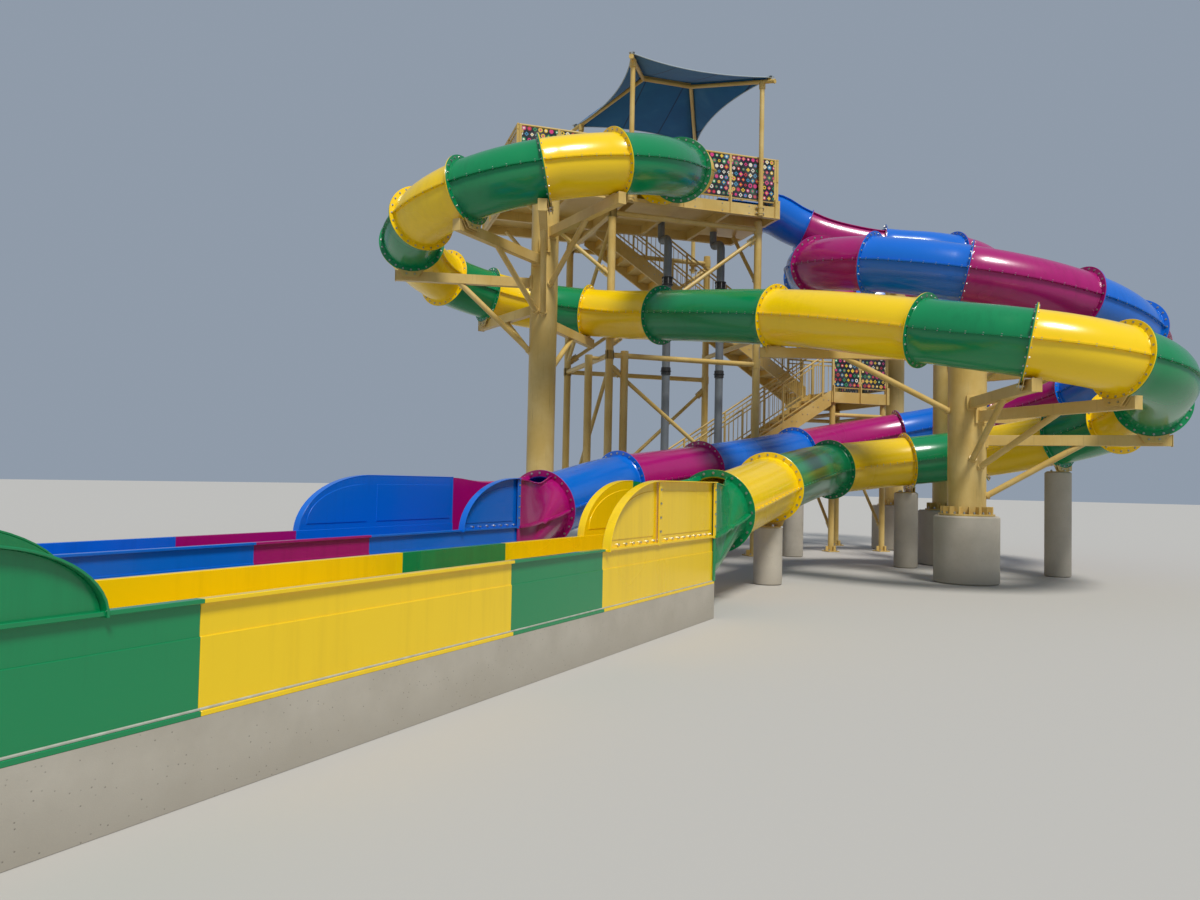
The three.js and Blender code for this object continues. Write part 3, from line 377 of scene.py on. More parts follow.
holes = add_node(concrete, "TexVoronoi", {"Scale": 26.0}, {"Vector": place.outputs["Object"]})
# Painted shade: each small air hole is darkened in the colour, and the same mask also dents the bump.
pit_shade_and_depth = add_node(concrete, "MapRange", {"From Min": 0.05, "From Max": 0.13, "To Min": 0.55, "To Max": 1.0},
                {"Value": holes.outputs["Distance"]})
pit_shaded_colour = add_node(concrete, "Mix", {"data_type": "RGBA", "blend_type": "MULTIPLY", 0: 1.0},
                  {6: wet.outputs[2], 7: pit_shade_and_depth.outputs["Result"]})
sand = add_node(concrete, "TexNoise", {"Scale": 140.0, "Detail": 3.0}, {"Vector": place.outputs["Object"]})
relief = add_node(concrete, "Math", {"operation": "MULTIPLY_ADD", 1: 0.25},
                  {0: sand.outputs["Fac"], 2: pit_shade_and_depth.outputs["Result"]})
bump = add_node(concrete, "Bump", {"Strength": 0.5, "Distance": 0.004}, {"Height": relief.outputs["Value"]})
shader.inputs["Roughness"].default_value = 0.88
wire(concrete, shader, Base_Color=pit_shaded_colour.outputs[2], Normal=bump.outputs["Normal"])

# %% [markdown]
# ## The two flume lines
# A flume is laid out from its exit upwards as straights and bends, and falls smoothly along them. The
# same plan is repeated here from CAD. Each line becomes a guide curve: a straight run of moulded sections
# is modelled along X at its own distance from the exit, and a Curve modifier bends it along the guide.

# %% Trace a flume's line
def trace_line(start, plan, heights, step=0.05):
    """Points along a flume, the plan length at each, and the distance travelled to it."""
    x, y, heading, at = start[0], start[1], 0.0, 0.0
    pieces = []
    for size, *turned in plan:
        turn = math.radians(turned[0]) if turned else 0.0
        bend = math.copysign(1 / size, turn) if turned else 0.0
        pieces.append((at, x, y, heading, bend))
        if turned:
            x += (math.cos(heading) - math.cos(heading + turn)) / bend
            y += (math.sin(heading + turn) - math.sin(heading)) / bend
        else:
            x += size * math.sin(heading)
            y += size * math.cos(heading)
        heading += turn
        at += size * abs(turn) if turned else size
    keys = [*heights[:-1], (at, heights[-1][1])]
    falls = [(b[1] - a[1]) / (b[0] - a[0]) for a, b in zip(keys, keys[1:])]
    slopes = [falls[0], *[2 * a * b / (a + b) for a, b in zip(falls, falls[1:])], falls[-1]]
    lengths = np.linspace(0.0, at, round(at / step) + 1)
    points = []
    for s in lengths:
        began, px, py, way, bend = [p for p in pieces if s >= p[0] - 1e-9][-1]
        run = s - began
        now = way + bend * run
        if bend:
            px += (math.cos(way) - math.cos(now)) / bend
            py += (math.sin(now) - math.sin(way)) / bend
        else:
            px += run * math.sin(way)
            py += run * math.cos(way)
        i = min(max(sum(1 for k in keys if s > k[0]) - 1, 0), len(keys) - 2)
        span = keys[i + 1][0] - keys[i][0]
        t = (s - keys[i][0]) / span
        z = keys[i][1] * (2 * t**3 - 3 * t**2 + 1) + slopes[i] * span * (t**3 - 2 * t**2 + t)
        z += keys[i + 1][1] * (3 * t**2 - 2 * t**3) + slopes[i + 1] * span * (t**3 - t**2)
        points.append((px, py, z))
    points = np.array(points)
    travelled = np.concatenate([[0.0], np.cumsum(np.linalg.norm(np.diff(points, axis=0), axis=1))])
    return {"points": points, "lengths": lengths, "travelled": travelled}


def guide_curve(line, name):
    """A guide for the Curve modifier, through every point of a line."""
    curve = bpy.data.curves.new(name, "CURVE")
    curve.dimensions = "3D"
    curve.twist_mode = "Z_UP"
    curve.use_deform_bounds = False
    spline = curve.splines.new("POLY")
    spline.points.add(len(line["points"]) - 1)
    for point, (x, y, z) in zip(spline.points, line["points"]):
        point.co = (x, y, z, 1.0)
    guide = bpy.data.objects.new(name, curve)
    bpy.context.scene.collection.objects.link(guide)
    return guide


def travelled(line, s):
    """Distance along the flume itself for a length in plan."""
    return float(np.interp(s, line["lengths"], line["travelled"]))


def frame_at(line, s):
    """Point, level side direction and top direction of a line at a plan length."""
    points, lengths = line["points"], line["lengths"]
    at = Vector([float(np.interp(s, lengths, points[:, k])) for k in range(3)])
    low, high = max(s - 0.03, 0.0), min(s + 0.03, lengths[-1])
    step = [float(np.interp(high, lengths, points[:, k]) - np.interp(low, lengths, points[:, k]))
            for k in range(3)]
    along = Vector(step).normalized()
    side = Vector((along.y, -along.x, 0.0)).normalized()
    return at, side, side.cross(along).normalized(), along


# The middles of the two lanes, the line where the exits meet them, and where flume B's trough begins.
LANE_A, LANE_B = 4.264, 1.564
EXIT_Y = -9.264
TROUGH_START = 44.75
line_a = trace_line(
    (LANE_A, EXIT_Y),
    [(6.3,), (2.7, 177), (0.75,), (1.85, 112), (6.75,), (2.35, -299), (1.02,), (2.3, -35), (1.164,)],
    [(0, 1.03), (1.5, 1.19), (3.95, 1.52), (5, 1.64), (10, 2.2), (14, 2.91), (18, 3.55), (22, 4.36),
     (26, 4.9), (30, 5.42), (34, 6.11), (37.5, 6.86), (39.3, 7.37), (41, 7.994), (41.61, 8.0)])
line_b = trace_line(
    (LANE_B, EXIT_Y),
    [(3.35,), (2.44, 13.8), (6.32,), (3.29, 262.6), (0.3,), (2.0, 69), (6.05,), (2.15, 264.6), (2.15,),
     (2.4, -25), (0.6,)],
    [(0, 0.95), (1.5, 1.155), (3.95, 1.54), (5.95, 1.77), (10.35, 2.36), (14.75, 3.16), (19.25, 4.1),
     (23.65, 5.0), (26.05, 5.5), (29.05, 5.98), (32.55, 6.42), (38.05, 6.8), (44.05, 7.1), (44.75, 7.17),
     (45.75, 7.38), (46.75, 7.74), (47.45, 7.992), (47.83, 8.0)])
guide_a = guide_curve(line_a, "guide_a")
guide_b = guide_curve(line_b, "guide_b")
JOINTS_A = [0.0, 1.5, 3.95, 7.3, 9.15, 10.6, 11.95, 13.2, 14.5, 17.0, 18.25, 19.75, 22.4, 25.05, 26.9, 28.0,
            29.0, 30.1, 31.75, 32.7, 33.9, 35.15, 36.3, 38.5, line_a["lengths"][-1]]
JOINTS_B = [0.0, 1.5, 3.95, 6.35, 9.95, 13.15, 15.35, 17.15, 18.75, 20.8, 22.45, 24.35, 25.9, 27.25, 29.95,
            32.35, 34.55, 36.25, 37.95, 39.65, 41.35, 43.05, TROUGH_START, 46.55, line_b["lengths"][-1]]
print("flume lengths:", round(travelled(line_a, 99), 2), round(travelled(line_b, 99), 2))

# %% [markdown]
# ## One moulded section
# A closed flume section is two half shells bolted along the sides, with a bolted ring flange at each end.
# The shell is drawn as by hand: a circle round the line is extruded from ring to ring, out over the
# flange, along the outside and back along the inside, until it closes on itself.

# %% Shells and lips
FLUME_OUT = 0.475
FLUME_IN = 0.457
FLANGE_OUT = 0.565


def stops_between(a, b, step):
    """Evenly spaced places after a, up to and with b."""
    count = max(1, round((b - a) / step))
    return [a + (b - a) * i / count for i in range(1, count + 1)]


def draw_out(rings, sides=56):
    """Extrudes a circle round the X axis through each distance and radius, and closes the skin."""
    x, radius = rings[0]
    bpy.ops.object.select_all(action="DESELECT")
    bpy.ops.mesh.primitive_circle_add(vertices=sides, radius=radius)
    shell = bpy.context.object
    shell.data.transform(Matrix.Translation((x, 0, 0)) @ quarter("Y"))
    bpy.ops.object.mode_set(mode="EDIT")
    bpy.ops.mesh.select_all(action="SELECT")
    for next_x, next_radius in rings[1:]:
        bpy.ops.mesh.extrude_region_move(TRANSFORM_OT_translate={"value": (next_x - x, 0, 0)})
        if next_radius != radius:
            grow = next_radius / radius
            bpy.ops.transform.resize(value=(1, grow, grow), center_override=(next_x, 0, 0))
        x, radius = next_x, next_radius
    finish_edit(0.0001)
    return shell


def lip(start, end, y, z, width=0.046, thickness=0.009):
    """A flat strip beside the shell, from start to end along X, with a cut every 0.2 m so it can bend."""
    bpy.ops.mesh.primitive_plane_add(size=1)
    strip = bpy.context.object
    strip.data.transform(Matrix.Diagonal((thickness, width, 1, 1)))
    strip.data.transform(Matrix.Translation((start, y, z)) @ quarter("Y"))
    bpy.ops.object.mode_set(mode="EDIT")
    bpy.ops.mesh.select_all(action="SELECT")
    x = start
    for stop in stops_between(start, end, 0.2):
        bpy.ops.mesh.extrude_region_move(TRANSFORM_OT_translate={"value": (stop - x, 0, 0)})
        x = stop
    finish_edit()
    return strip


def section(start, end, colour):
    """One moulded section with its two ring flanges and the four lips of its side seams."""
    a, b = start + 0.0008, end - 0.0008
    outside = [(a, FLUME_IN), (a, FLANGE_OUT - 0.003), (a + 0.003, FLANGE_OUT), (a + 0.009, FLANGE_OUT),
               (a + 0.012, FLANGE_OUT - 0.003), (a + 0.014, FLUME_OUT + 0.010), (a + 0.032, FLUME_OUT)]
    body = stops_between(a + 0.032, b - 0.032, 0.2)
    back = [(a + b - x, r) for x, r in reversed(outside)]
    rings = outside + [(x, FLUME_OUT) for x in body[:-1]] + back
    rings += [(x, FLUME_IN) for x in reversed(body[:-1])] + [outside[0]]
    parts = [draw_out(rings)]
    for way in (-1, 1):
        for z in (-0.0055, 0.0055):
            parts.append(lip(a + 0.013, b - 0.013, way * (FLUME_OUT + 0.019), z))
    shell = join(parts, "section")
    shell.data.materials.clear()
    shell.data.materials.append(colour)
    return shell


# %% [markdown]
# A joint has 24 hex bolts with washers through both flanges. One pair of head and nut is modelled and spun
# round the flume. The side seams have a smaller bolt about every 0.18 m.

# %% Bolts for joints and seams
def screw_stack(vertices, radius, depth, offset):
    """One short prism along X, for a head, a nut or a washer."""
    bpy.ops.mesh.primitive_cylinder_add(vertices=vertices, radius=radius, depth=depth)
    thing = bpy.context.object
    thing.data.transform(Matrix.Translation((offset, 0, 0)) @ quarter("Y"))
    return thing


def bolt_ring(name, circle, count, face, size=0.0125):
    """Heads and nuts on both sides of a flange, spun round the X axis."""
    parts = []
    for way in (-1, 1):
        parts.append(screw_stack(8, size * 1.5, 0.004, way * (face + 0.002)))
        parts.append(screw_stack(6, size, 0.011, way * (face + 0.0095)))
    ring = join(parts, name)
    ring.data.transform(Matrix.Translation((0, 0, circle)))
    take(ring)
    bpy.ops.object.mode_set(mode="EDIT")
    bpy.ops.mesh.select_all(action="SELECT")
    bpy.ops.mesh.spin(steps=count, dupli=True, angle=2 * math.pi, center=(0, 0, 0), axis=(1, 0, 0))
    finish_edit(0.0002)
    ring.data.materials.append(stainless)
    return ring


joint_bolts = bolt_ring("joint_bolts", 0.522, 24, 0.0128)
seam_bolt = join([screw_stack(6, 0.010, 0.008, 0.014), screw_stack(6, 0.010, 0.008, -0.014)], "seam_bolt")
seam_bolt.data.transform(quarter("Y"))
seam_bolt.data.materials.append(stainless)


def seam_bolts(start, end):
    """A row of bolts down both seams of a section."""
    count = max(2, round((end - start - 0.2) / 0.18) + 1)
    pitch = (end - start - 0.2) / (count - 1)
    rows = []
    for way in (-1, 1):
        row = copy_of(seam_bolt, Matrix.Translation((start + 0.1, way * (FLUME_OUT + 0.026), 0)))
        repeat(row, count, (pitch, 0, 0))
        rows.append(row)
    return rows


# %% [markdown]
# ## The closed flume stretches
# Each stretch of CAD becomes its moulded sections in turning colours and one piece with all its bolts.

# %% Build and bend the stretches
def bend_along(thing, guide):
    """Bends a straight piece along a guide curve."""
    return apply_modifier(thing, "CURVE", object=guide, deform_axis="POS_X")


def dress_stretch(node, line, guide, joints, colours, first, last):
    """Models the sections between two joints, bends them and lets them stand for the solid."""
    shells = []
    metal = []
    for i in range(len(joints) - 1):
        if joints[i] < first - 0.01 or joints[i + 1] > last + 0.01:
            continue
        start, end = travelled(line, joints[i]), travelled(line, joints[i + 1])
        shells.append(section(start, end, colours[i % 2]))
        metal.append(copy_of(joint_bolts, Matrix.Translation((start, 0, 0))))
        metal += seam_bolts(start, end)
    if last > joints[-1] - 0.01 or abs(last - TROUGH_START) < 0.01:
        metal.append(copy_of(joint_bolts, Matrix.Translation((travelled(line, last), 0, 0))))
    shell = bend_along(join(shells, "flume_" + node), guide)
    smooth(shell, 32)
    keep(shell, SITE, [node])
    bolts = bend_along(join(metal, "flume_" + node + "_bolts"), guide)
    keep(bolts, SITE)


for node, first, last, slot in [
    ("a_exit_run", 1.5, 7.3, "gelcoat_yellow"), ("a_lower_bend", 7.3, 13.2, "gelcoat_green"),
    ("a_right_turn", 13.2, 18.25, "gelcoat_yellow"), ("a_long_run", 18.25, 26.9, "gelcoat_green"),
    ("a_left_turn", 26.9, 36.3, "gelcoat_yellow"), ("a_start_bend", 36.3, JOINTS_A[-1], "gelcoat_yellow"),
]:
    dress_stretch(node, line_a, guide_a, JOINTS_A, (green_gelcoat, yellow_gelcoat), first, last)
for node, first, last, slot in [
    ("b_exit_run", 1.5, 9.95, "gelcoat_blue"), ("b_lower_bend", 9.95, 17.15, "gelcoat_magenta"),
    ("b_right_turn", 17.15, 22.45, "gelcoat_blue"), ("b_near_run", 22.45, 27.25, "gelcoat_magenta"),
    ("b_cross_run", 27.25, 34.55, "gelcoat_blue"), ("b_loop", 34.55, TROUGH_START, "gelcoat_magenta"),
]:
    dress_stretch(node, line_b, guide_b, JOINTS_B, (magenta_gelcoat, blue_gelcoat), first, last)
print("flume pieces:", len(pieces_made))

# %% [markdown]
# ## Open mouldings
# The exit transitions, the start trough, the tubs and the lanes are open channels. Each is an outer and an
# inner skin through rows of points, closed round its edges, with a turned-out lip along both rims. Rows
# are computed, because their section changes from a round tube to a flat-floored lane along the way.

# %% Channels from rows of points
def double_skin(outer, inner, colour):
    """A closed shell between two grids of points with the same rows and columns."""
    rows, columns = len(outer), len(outer[0])
    points = [p for row in (*outer, *inner) for p in row]
    first = rows * columns

    def at(i, k, side):
        """The number of a point: row, column, and outer (0) or inner (1) skin."""
        return side * first + i * columns + k

    faces = []
    for i in range(rows - 1):
        for k in range(columns - 1):
            faces.append((at(i, k, 0), at(i, k + 1, 0), at(i + 1, k + 1, 0), at(i + 1, k, 0)))
            faces.append((at(i, k, 1), at(i + 1, k, 1), at(i + 1, k + 1, 1), at(i, k + 1, 1)))
        for k in (0, columns - 1):
            faces.append((at(i, k, 0), at(i + 1, k, 0), at(i + 1, k, 1), at(i, k, 1)))
    for i in (0, rows - 1):
        for k in range(columns - 1):
            faces.append((at(i, k, 0), at(i, k, 1), at(i, k + 1, 1), at(i, k + 1, 0)))
    shell = mesh_object("channel", points, faces)
    bpy.ops.object.mode_set(mode="EDIT")
    finish_edit()
    return painted(shell, colour)


def arc_row(line, s, radius, open_degrees, edge=0.0, lip_out=0.520, count=56):
    """An open arc round a line at s, with a lip point at each end. edge moves its ends down a little."""
    at, side, top, _ = frame_at(line, s)
    opened = math.radians(open_degrees) + edge
    angles = [opened + (2 * math.pi - 2 * opened) * i / count for i in range(count + 1)]
    row = [(a, radius) for a in angles]
    row = [(angles[0], lip_out), *row, (angles[-1], lip_out)]
    return [at + side * (r * math.sin(a)) + top * (r * math.cos(a)) for a, r in row]


def lane_row(x, y, half, ground, rim, corner, lip_out=0.560, count=56):
    """A lane's section at y: upright walls, rounded corners, flat floor and a lip at each rim."""
    row = []
    for i in range(count // 2 + 1):
        u = 14.0 * i / count
        if u < 1:
            row.append((half, rim + (ground + corner - rim) * u))
        elif u < 6:
            a = (math.pi / 2) * (u - 1) / 5
            row.append((half - corner + corner * math.cos(a), ground + corner - corner * math.sin(a)))
        else:
            row.append(((half - corner) * (7 - u), ground))
    row = [(lip_out, rim), *row]
    row += [(-across, z) for across, z in reversed(row[:-1])]
    return [Vector((x + across, y, z)) for across, z in row]


# %% [markdown]
# ## Exit transitions
# Above each lane the closed tube opens into the lane's wider section. The opening starts as a slot in the
# crown behind the ring flange and widens to the full lane.

# %% Build the transitions
LANE_FLOOR = 0.450
SPLASH_TOP = 1.570


def ring_at(line, guide, s, way):
    """One ring flange of its own at a joint, on the side that way points to."""
    x = travelled(line, s)
    near, far = x + way * 0.0008, x + way * 0.0128
    ring = draw_out([(near, FLUME_OUT - 0.002), (near, FLANGE_OUT), (far, FLANGE_OUT),
                     (far, FLUME_OUT - 0.002), (near, FLUME_OUT - 0.002)])
    return bend_along(ring, guide)


def side_lip(rows, targets, way, middle, colour):
    """A lip along the outside of a channel, at a height that changes from row to row."""
    upper, lower = [], []
    for row, target in zip(rows, targets):
        wall = [p for p in row[1:-1] if (p.x - middle) * way > 0]
        a, b = min(zip(wall, wall[1:]), key=lambda pair: abs((pair[0].z + pair[1].z) / 2 - target))
        share = min(max((target - a.z) / ((b.z - a.z) or 1.0), 0.0), 1.0)
        at = a.lerp(b, share)
        for side, lift in ((upper, 0.012), (lower, -0.012)):
            side.append([at + Vector((way * out, 0, lift)) for out in (-0.006, 0.064)])
    return double_skin(upper, lower, colour)


def transition(node, line, guide, length, x, y, colour):
    """The open moulding between a lane's back end at x and y and a flume's first joint."""
    outer, inner, seam = [], [], []
    for i in range(19):
        t = i / 18
        s = length * t
        mix = t * t * (3 - 2 * t)
        opened = 22 + 20 * (1 - t)
        shift = Vector((0, frame_at(line, s)[0].y - y, 0))
        lane_out = lane_row(x, y, 0.530, LANE_FLOOR - 0.030, SPLASH_TOP - 0.014, 0.200)
        lane_in = lane_row(x, y, 0.500, LANE_FLOOR, SPLASH_TOP, 0.170)
        tube_out = arc_row(line, s, FLUME_OUT, opened, 0.03)
        tube_in = arc_row(line, s, FLUME_IN, opened)
        outer.append([(p + shift).lerp(q, mix) for p, q in zip(lane_out, tube_out)])
        inner.append([(p + shift).lerp(q, mix) for p, q in zip(lane_in, tube_in)])
        seam.append(0.945 + (frame_at(line, s)[0].z - 0.945) * t)
    parts = [double_skin(outer, inner, colour)]
    for way in (-1, 1):
        parts.append(side_lip(outer[:-1], seam, way, x, colour))
        foot = (x + way * 0.552, y + 0.008, 0.43)
        parts.append(painted(bar(foot, (*foot[:2], SPLASH_TOP - 0.02), 0.06, 0.012), colour))
    parts.append(painted(ring_at(line, guide, length, -1), colour))
    piece = join(parts, "flume_" + node)
    smooth(piece, 40)
    keep(piece, SITE, [node])


transition("a_exit_transition", line_a, guide_a, 1.5, LANE_A, EXIT_Y, green_gelcoat)
transition("b_exit_transition", line_b, guide_b, 1.5, LANE_B, EXIT_Y, magenta_gelcoat)

# %% [markdown]
# ## The open start of flume B and the two start tubs
# Flume B leaves the platform as an open trough in two sections. The tubs are half-round seats sunk in
# trays in the deck, where a rider sits down in running water.

# %% Build the trough and the tubs
def sector_ring(line, s, opened, colour):
    """A flange that follows an open arc."""
    outer = [arc_row(line, s + d, FLANGE_OUT, opened, 0.0, FLANGE_OUT) for d in (-0.006, 0.006)]
    low = FLUME_OUT - 0.003
    inner = [arc_row(line, s + d, low, opened, 0.0, low) for d in (-0.006, 0.006)]
    return double_skin([row[1:-1] for row in outer], [row[1:-1] for row in inner], colour)


trough = []
for start, end, colour in ((TROUGH_START, 46.55, magenta_gelcoat), (46.55, JOINTS_B[-1], blue_gelcoat)):
    stations = [start + 0.001, *stops_between(start, end - 0.001, 0.15)]
    outer = [arc_row(line_b, s, FLUME_OUT, 52, 0.03) for s in stations]
    inner = [arc_row(line_b, s, FLUME_IN, 52) for s in stations]
    trough.append(double_skin(outer, inner, colour))
    trough.append(sector_ring(line_b, start + 0.008, 52, colour))
    trough.append(sector_ring(line_b, end - 0.008, 52, colour))
trough = join(trough, "flume_b_start_trough")
smooth(trough, 40)
keep(trough, SITE, ["b_start_trough"])


def tub(node, colour, placing):
    """A half-round trough with a lip and a closed end, along Y from its mouth."""
    outer, inner = [], []
    for i in range(9):
        y = 0.0004 + 1.1496 * i / 8
        for rows, radius, drop in ((outer, FLUME_OUT, 0.014), (inner, FLUME_IN, 0.0)):
            row = [(radius * math.cos(math.pi * k / 32), -radius * math.sin(math.pi * k / 32) - drop)
                   for k in range(33)]
            row = [(0.520, -drop), *row, (-0.520, -drop)]
            rows.append([Vector((across, y, z)) for across, z in row])
    shell = double_skin(outer, inner, colour)
    bpy.ops.object.select_all(action="DESELECT")
    bpy.ops.mesh.primitive_cylinder_add(vertices=64, radius=FLUME_OUT, depth=0.03)
    end = bpy.context.object
    end.data.transform(Matrix.Translation((0, 1.135, 0)) @ quarter("X"))
    bpy.ops.object.mode_set(mode="EDIT")
    bpy.ops.mesh.select_all(action="SELECT")
    bpy.ops.mesh.bisect(plane_co=(0, 0, -0.001), plane_no=(0, 0, 1), clear_outer=True, use_fill=True)
    bpy.ops.object.mode_set(mode="OBJECT")
    end.data.materials.append(colour)
    piece = join([shell, end], "flume_" + node)
    smooth(piece, 40)
    keep(piece, TOWER @ placing, [node])


tub("a_start_tub", yellow_gelcoat, Matrix.Translation((-0.850, -1.9446, 8.0)))
tub("b_start_tub", blue_gelcoat,
    Matrix.Translation((2.010, -0.709, 8.0)) @ quarter("Z"))

# %% [markdown]
# ## Run-out lanes
# A lane is a row of moulded channel sections on a strip footing. High splash guards stand on its walls by
# the exit, a long one outside and a short one inside. A guard is a flat board with a long rounded nose. A
# flat band runs round its edge, a raised field stiffens it, and upright ribs with bolts hold it.

# %% Lane channels
LANE_RIM = 0.956
LANE_WALL = 0.515
GUARD_NOSE = 1.15
# Pale and satin, with grime in patches along the bead.
sealant, shader = new_material("silicone_sealant", Roughness=0.42, IOR=1.41)
place = add_node(sealant, "TexCoord")
grime = add_node(sealant, "TexNoise", {"Scale": 14.0, "Detail": 5.0}, {"Vector": place.outputs["Object"]})
tone = add_node(sealant, "Mix", {"data_type": "RGBA", 6: linear("8f8d7e"), 7: linear("cfd2c6")},
                {0: grime.outputs["Fac"]})
wire(sealant, shader, Base_Color=tone.outputs[2])


def lane_channel(x, y0, y1, colour):
    """One channel section between y0 and y1, with its skirts, feet and a bead of sealant."""
    outer = [lane_row(x, y, 0.530, LANE_FLOOR - 0.030, LANE_RIM - 0.022, 0.200) for y in (y0, y1)]
    inner = [lane_row(x, y, 0.500, LANE_FLOOR, LANE_RIM, 0.170) for y in (y0, y1)]
    parts = [double_skin(outer, inner, colour)]
    strips = [(0.420, 0.413, 0.280, 0.0255, colour), (0.531, 0.600, 0.012, 0.350, colour),
              (0.542, 0.431, 0.014, 0.012, sealant)]
    for way in (-1, 1):
        for out, z, width, height, material in strips:
            ends = [(x + way * out, y, z) for y in (y0, y1)]
            parts.append(painted(bar(*ends, width, height), material))
    return join(parts, "channel")


def board(outline, x, thickness, colour):
    """A flat board in the plane of Y and height, centred on x."""
    near_side = [(x - thickness / 2, y, z) for y, z in outline]
    sheet = mesh_object("board", near_side, [list(range(len(outline)))])
    bpy.ops.object.mode_set(mode="EDIT")
    bpy.ops.mesh.select_all(action="SELECT")
    bpy.ops.mesh.extrude_region_move(TRANSFORM_OT_translate={"value": (thickness, 0, 0)})
    finish_edit()
    return painted(sheet, colour)


def edge_band(path, x0, x1, thickness, colour):
    """A flat band that follows a path of Y and height, between x0 and x1."""
    outer, inner = [], []
    for i, (y, z) in enumerate(path):
        before, after = path[max(i - 1, 0)], path[min(i + 1, len(path) - 1)]
        way = Vector((after[0] - before[0], after[1] - before[1])).normalized()
        out = Vector((way.y, -way.x)) * thickness
        outer.append([Vector((x, y, z)) for x in (x0, x1)])
        inner.append([Vector((x, y + out.x, z + out.y)) for x in (x0, x1)])
    return double_skin(outer, inner, colour)


def guard_outline(y_front, y_back, inset):
    """The edge of a guard from its back top corner round the nose to its foot, drawn in by inset."""
    base, top = LANE_RIM - 0.03 + inset, SPLASH_TOP - inset
    wide, rise = min(GUARD_NOSE - inset, y_back - y_front - 2 * inset), top - base
    nose = [(y_front + inset + wide - wide * math.cos(a), base + rise * math.sin(a))
            for a in [math.pi / 2 * k / 18 for k in range(18, -1, -1)]]
    return [(y_back - inset, top), *nose]


def splash_guard(x, way, y_front, y_back, ribs, colour):
    """A guard on one wall; way is the side of the lane it stands on."""
    wall = x + way * LANE_WALL
    base = LANE_RIM - 0.03
    edge = guard_outline(y_front, y_back, 0.0)
    parts = [board([(y_back, base), *edge], wall, 0.016, colour)]
    parts.append(edge_band(edge, wall - way * 0.010, wall + way * 0.075, 0.011, colour))
    bolts = []
    for y in ribs:
        ends = [(wall + way * 0.041, y, z) for z in (base, SPLASH_TOP - 0.006)]
        parts.append(painted(bar(*ends, 0.068, 0.014), colour))
        for z in stops_between(base, SPLASH_TOP - 0.08, 0.15):
            bolts.append(copy_of(guard_bolt, Matrix.Translation((wall + way * 0.046, y, z))))
    fields = [(y_front, min(ribs, default=y_back)), *zip(ribs[1:], ribs)] if ribs else [(y_front, y_back)]
    for i, (front, back) in enumerate(fields):
        if i == 0:
            shape = guard_outline(front, back, 0.10)
        else:
            high = SPLASH_TOP - 0.10
            shape = [(back - 0.07, high), (front + 0.07, high), (front + 0.07, base + 0.1)]
        if shape[0][0] - shape[-1][0] > 0.3:
            parts.append(board([(shape[0][0], base + 0.10), *shape], wall, 0.030, colour))
    for y in stops_between(y_front + 0.1, y_back - 0.08, 0.16):
        bolts.append(copy_of(guard_bolt, Matrix.Translation((wall + way * 0.010, y, LANE_RIM + 0.022))
                             @ quarter("Z")))
    return parts, bolts


guard_bolt = screw_stack(6, 0.012, 0.034, 0)
guard_bolt.data.transform(quarter("Z"))
guard_bolt.data.materials.append(stainless)


def build_lane(node, x, y_back, cuts, colours, guards):
    """The channel sections and guards of one lane."""
    parts, bolts = [], []
    edges = [y_back - 0.0002, *cuts]
    for back, front, colour in zip(edges, edges[1:], colours):
        parts.append(lane_channel(x, front + 0.0006, back - 0.0006, colour))
    for way, length, ribs in guards:
        more, screws = splash_guard(x, way, y_back - length, y_back - 0.001, ribs, colours[0])
        parts += more
        bolts += screws
    piece = join(parts, "run_out_" + node)
    soften(piece, 0.0025, 35)
    keep(piece, SITE, [node])
    keep(join(bolts, "run_out_" + node + "_bolts"), SITE)


END_Y = -16.25
build_lane("a_lane", LANE_A, EXIT_Y, [-12.06, -13.54, END_Y],
           [yellow_gelcoat, green_gelcoat, yellow_gelcoat],
           [(1, 2.75, [-9.272, -10.86]), (-1, 1.23, [-9.272])])
build_lane("b_lane", LANE_B, EXIT_Y, [-12.06, -13.54, END_Y],
           [blue_gelcoat, magenta_gelcoat, blue_gelcoat],
           [(1, 1.23, [-9.272]), (-1, 2.75, [-9.272, -10.86])])


def build_lane_end(node, x, outer, colour):
    """The end piece: a channel section with a rounded rise on both walls, shorter on the outer one."""
    far = -17.9
    parts = [lane_channel(x, far, END_Y - 0.0006, colour)]
    for way in (-1, 1):
        span, rise = (1.15, 0.33) if way == outer else (END_Y - far, 0.38)
        wall = x + way * LANE_WALL
        hump = [(far + span / 2 * (1 + math.cos(a)), LANE_RIM - 0.03 + rise * math.sin(a))
                for a in [math.pi * k / 28 for k in range(29)]]
        parts.append(board(hump, wall, 0.026, colour))
        parts.append(edge_band(hump, wall - way * 0.014, wall + way * 0.059, 0.012, colour))
    piece = join(parts, "run_out_" + node)
    soften(piece, 0.0025, 35)
    keep(piece, SITE, [node])


build_lane_end("a_lane_end", LANE_A, 1, green_gelcoat)
build_lane_end("b_lane_end", LANE_B, -1, blue_gelcoat)
print("lanes made, pieces so far:", len(pieces_made))

# %% [markdown]
# ## Columns, arms and piers
# Four round columns stand on chamfered concrete piers. Box arms reach out to the flume joints, where two
# cut plates clamp each flange, and a round brace props every arm. Anchor bolts and stiffeners ring the base.

# %% Steel helpers
CLAMP_RADIUS = 0.556
gusset_bolt = join([screw_stack(8, 0.020, 0.026, 0), screw_stack(6, 0.015, 0.050, 0)], "gusset_bolt")
gusset_bolt.data.materials.append(stainless)


def upright_bolt(x, y, z):
    """A bolt that stands on end."""
    return copy_of(gusset_bolt, Matrix.Translation((x, y, z)) @ quarter("Y"))


def turned_box(centre, size, angle=0.0):
    """A box turned about the vertical, its size given as width, depth and height."""
    bpy.ops.mesh.primitive_cube_add(size=1)
    thing = bpy.context.object
    thing.data.transform(Matrix.Translation(centre) @ Matrix.Rotation(angle, 4, "Z")
                         @ Matrix.Diagonal((*size, 1)))
    return thing


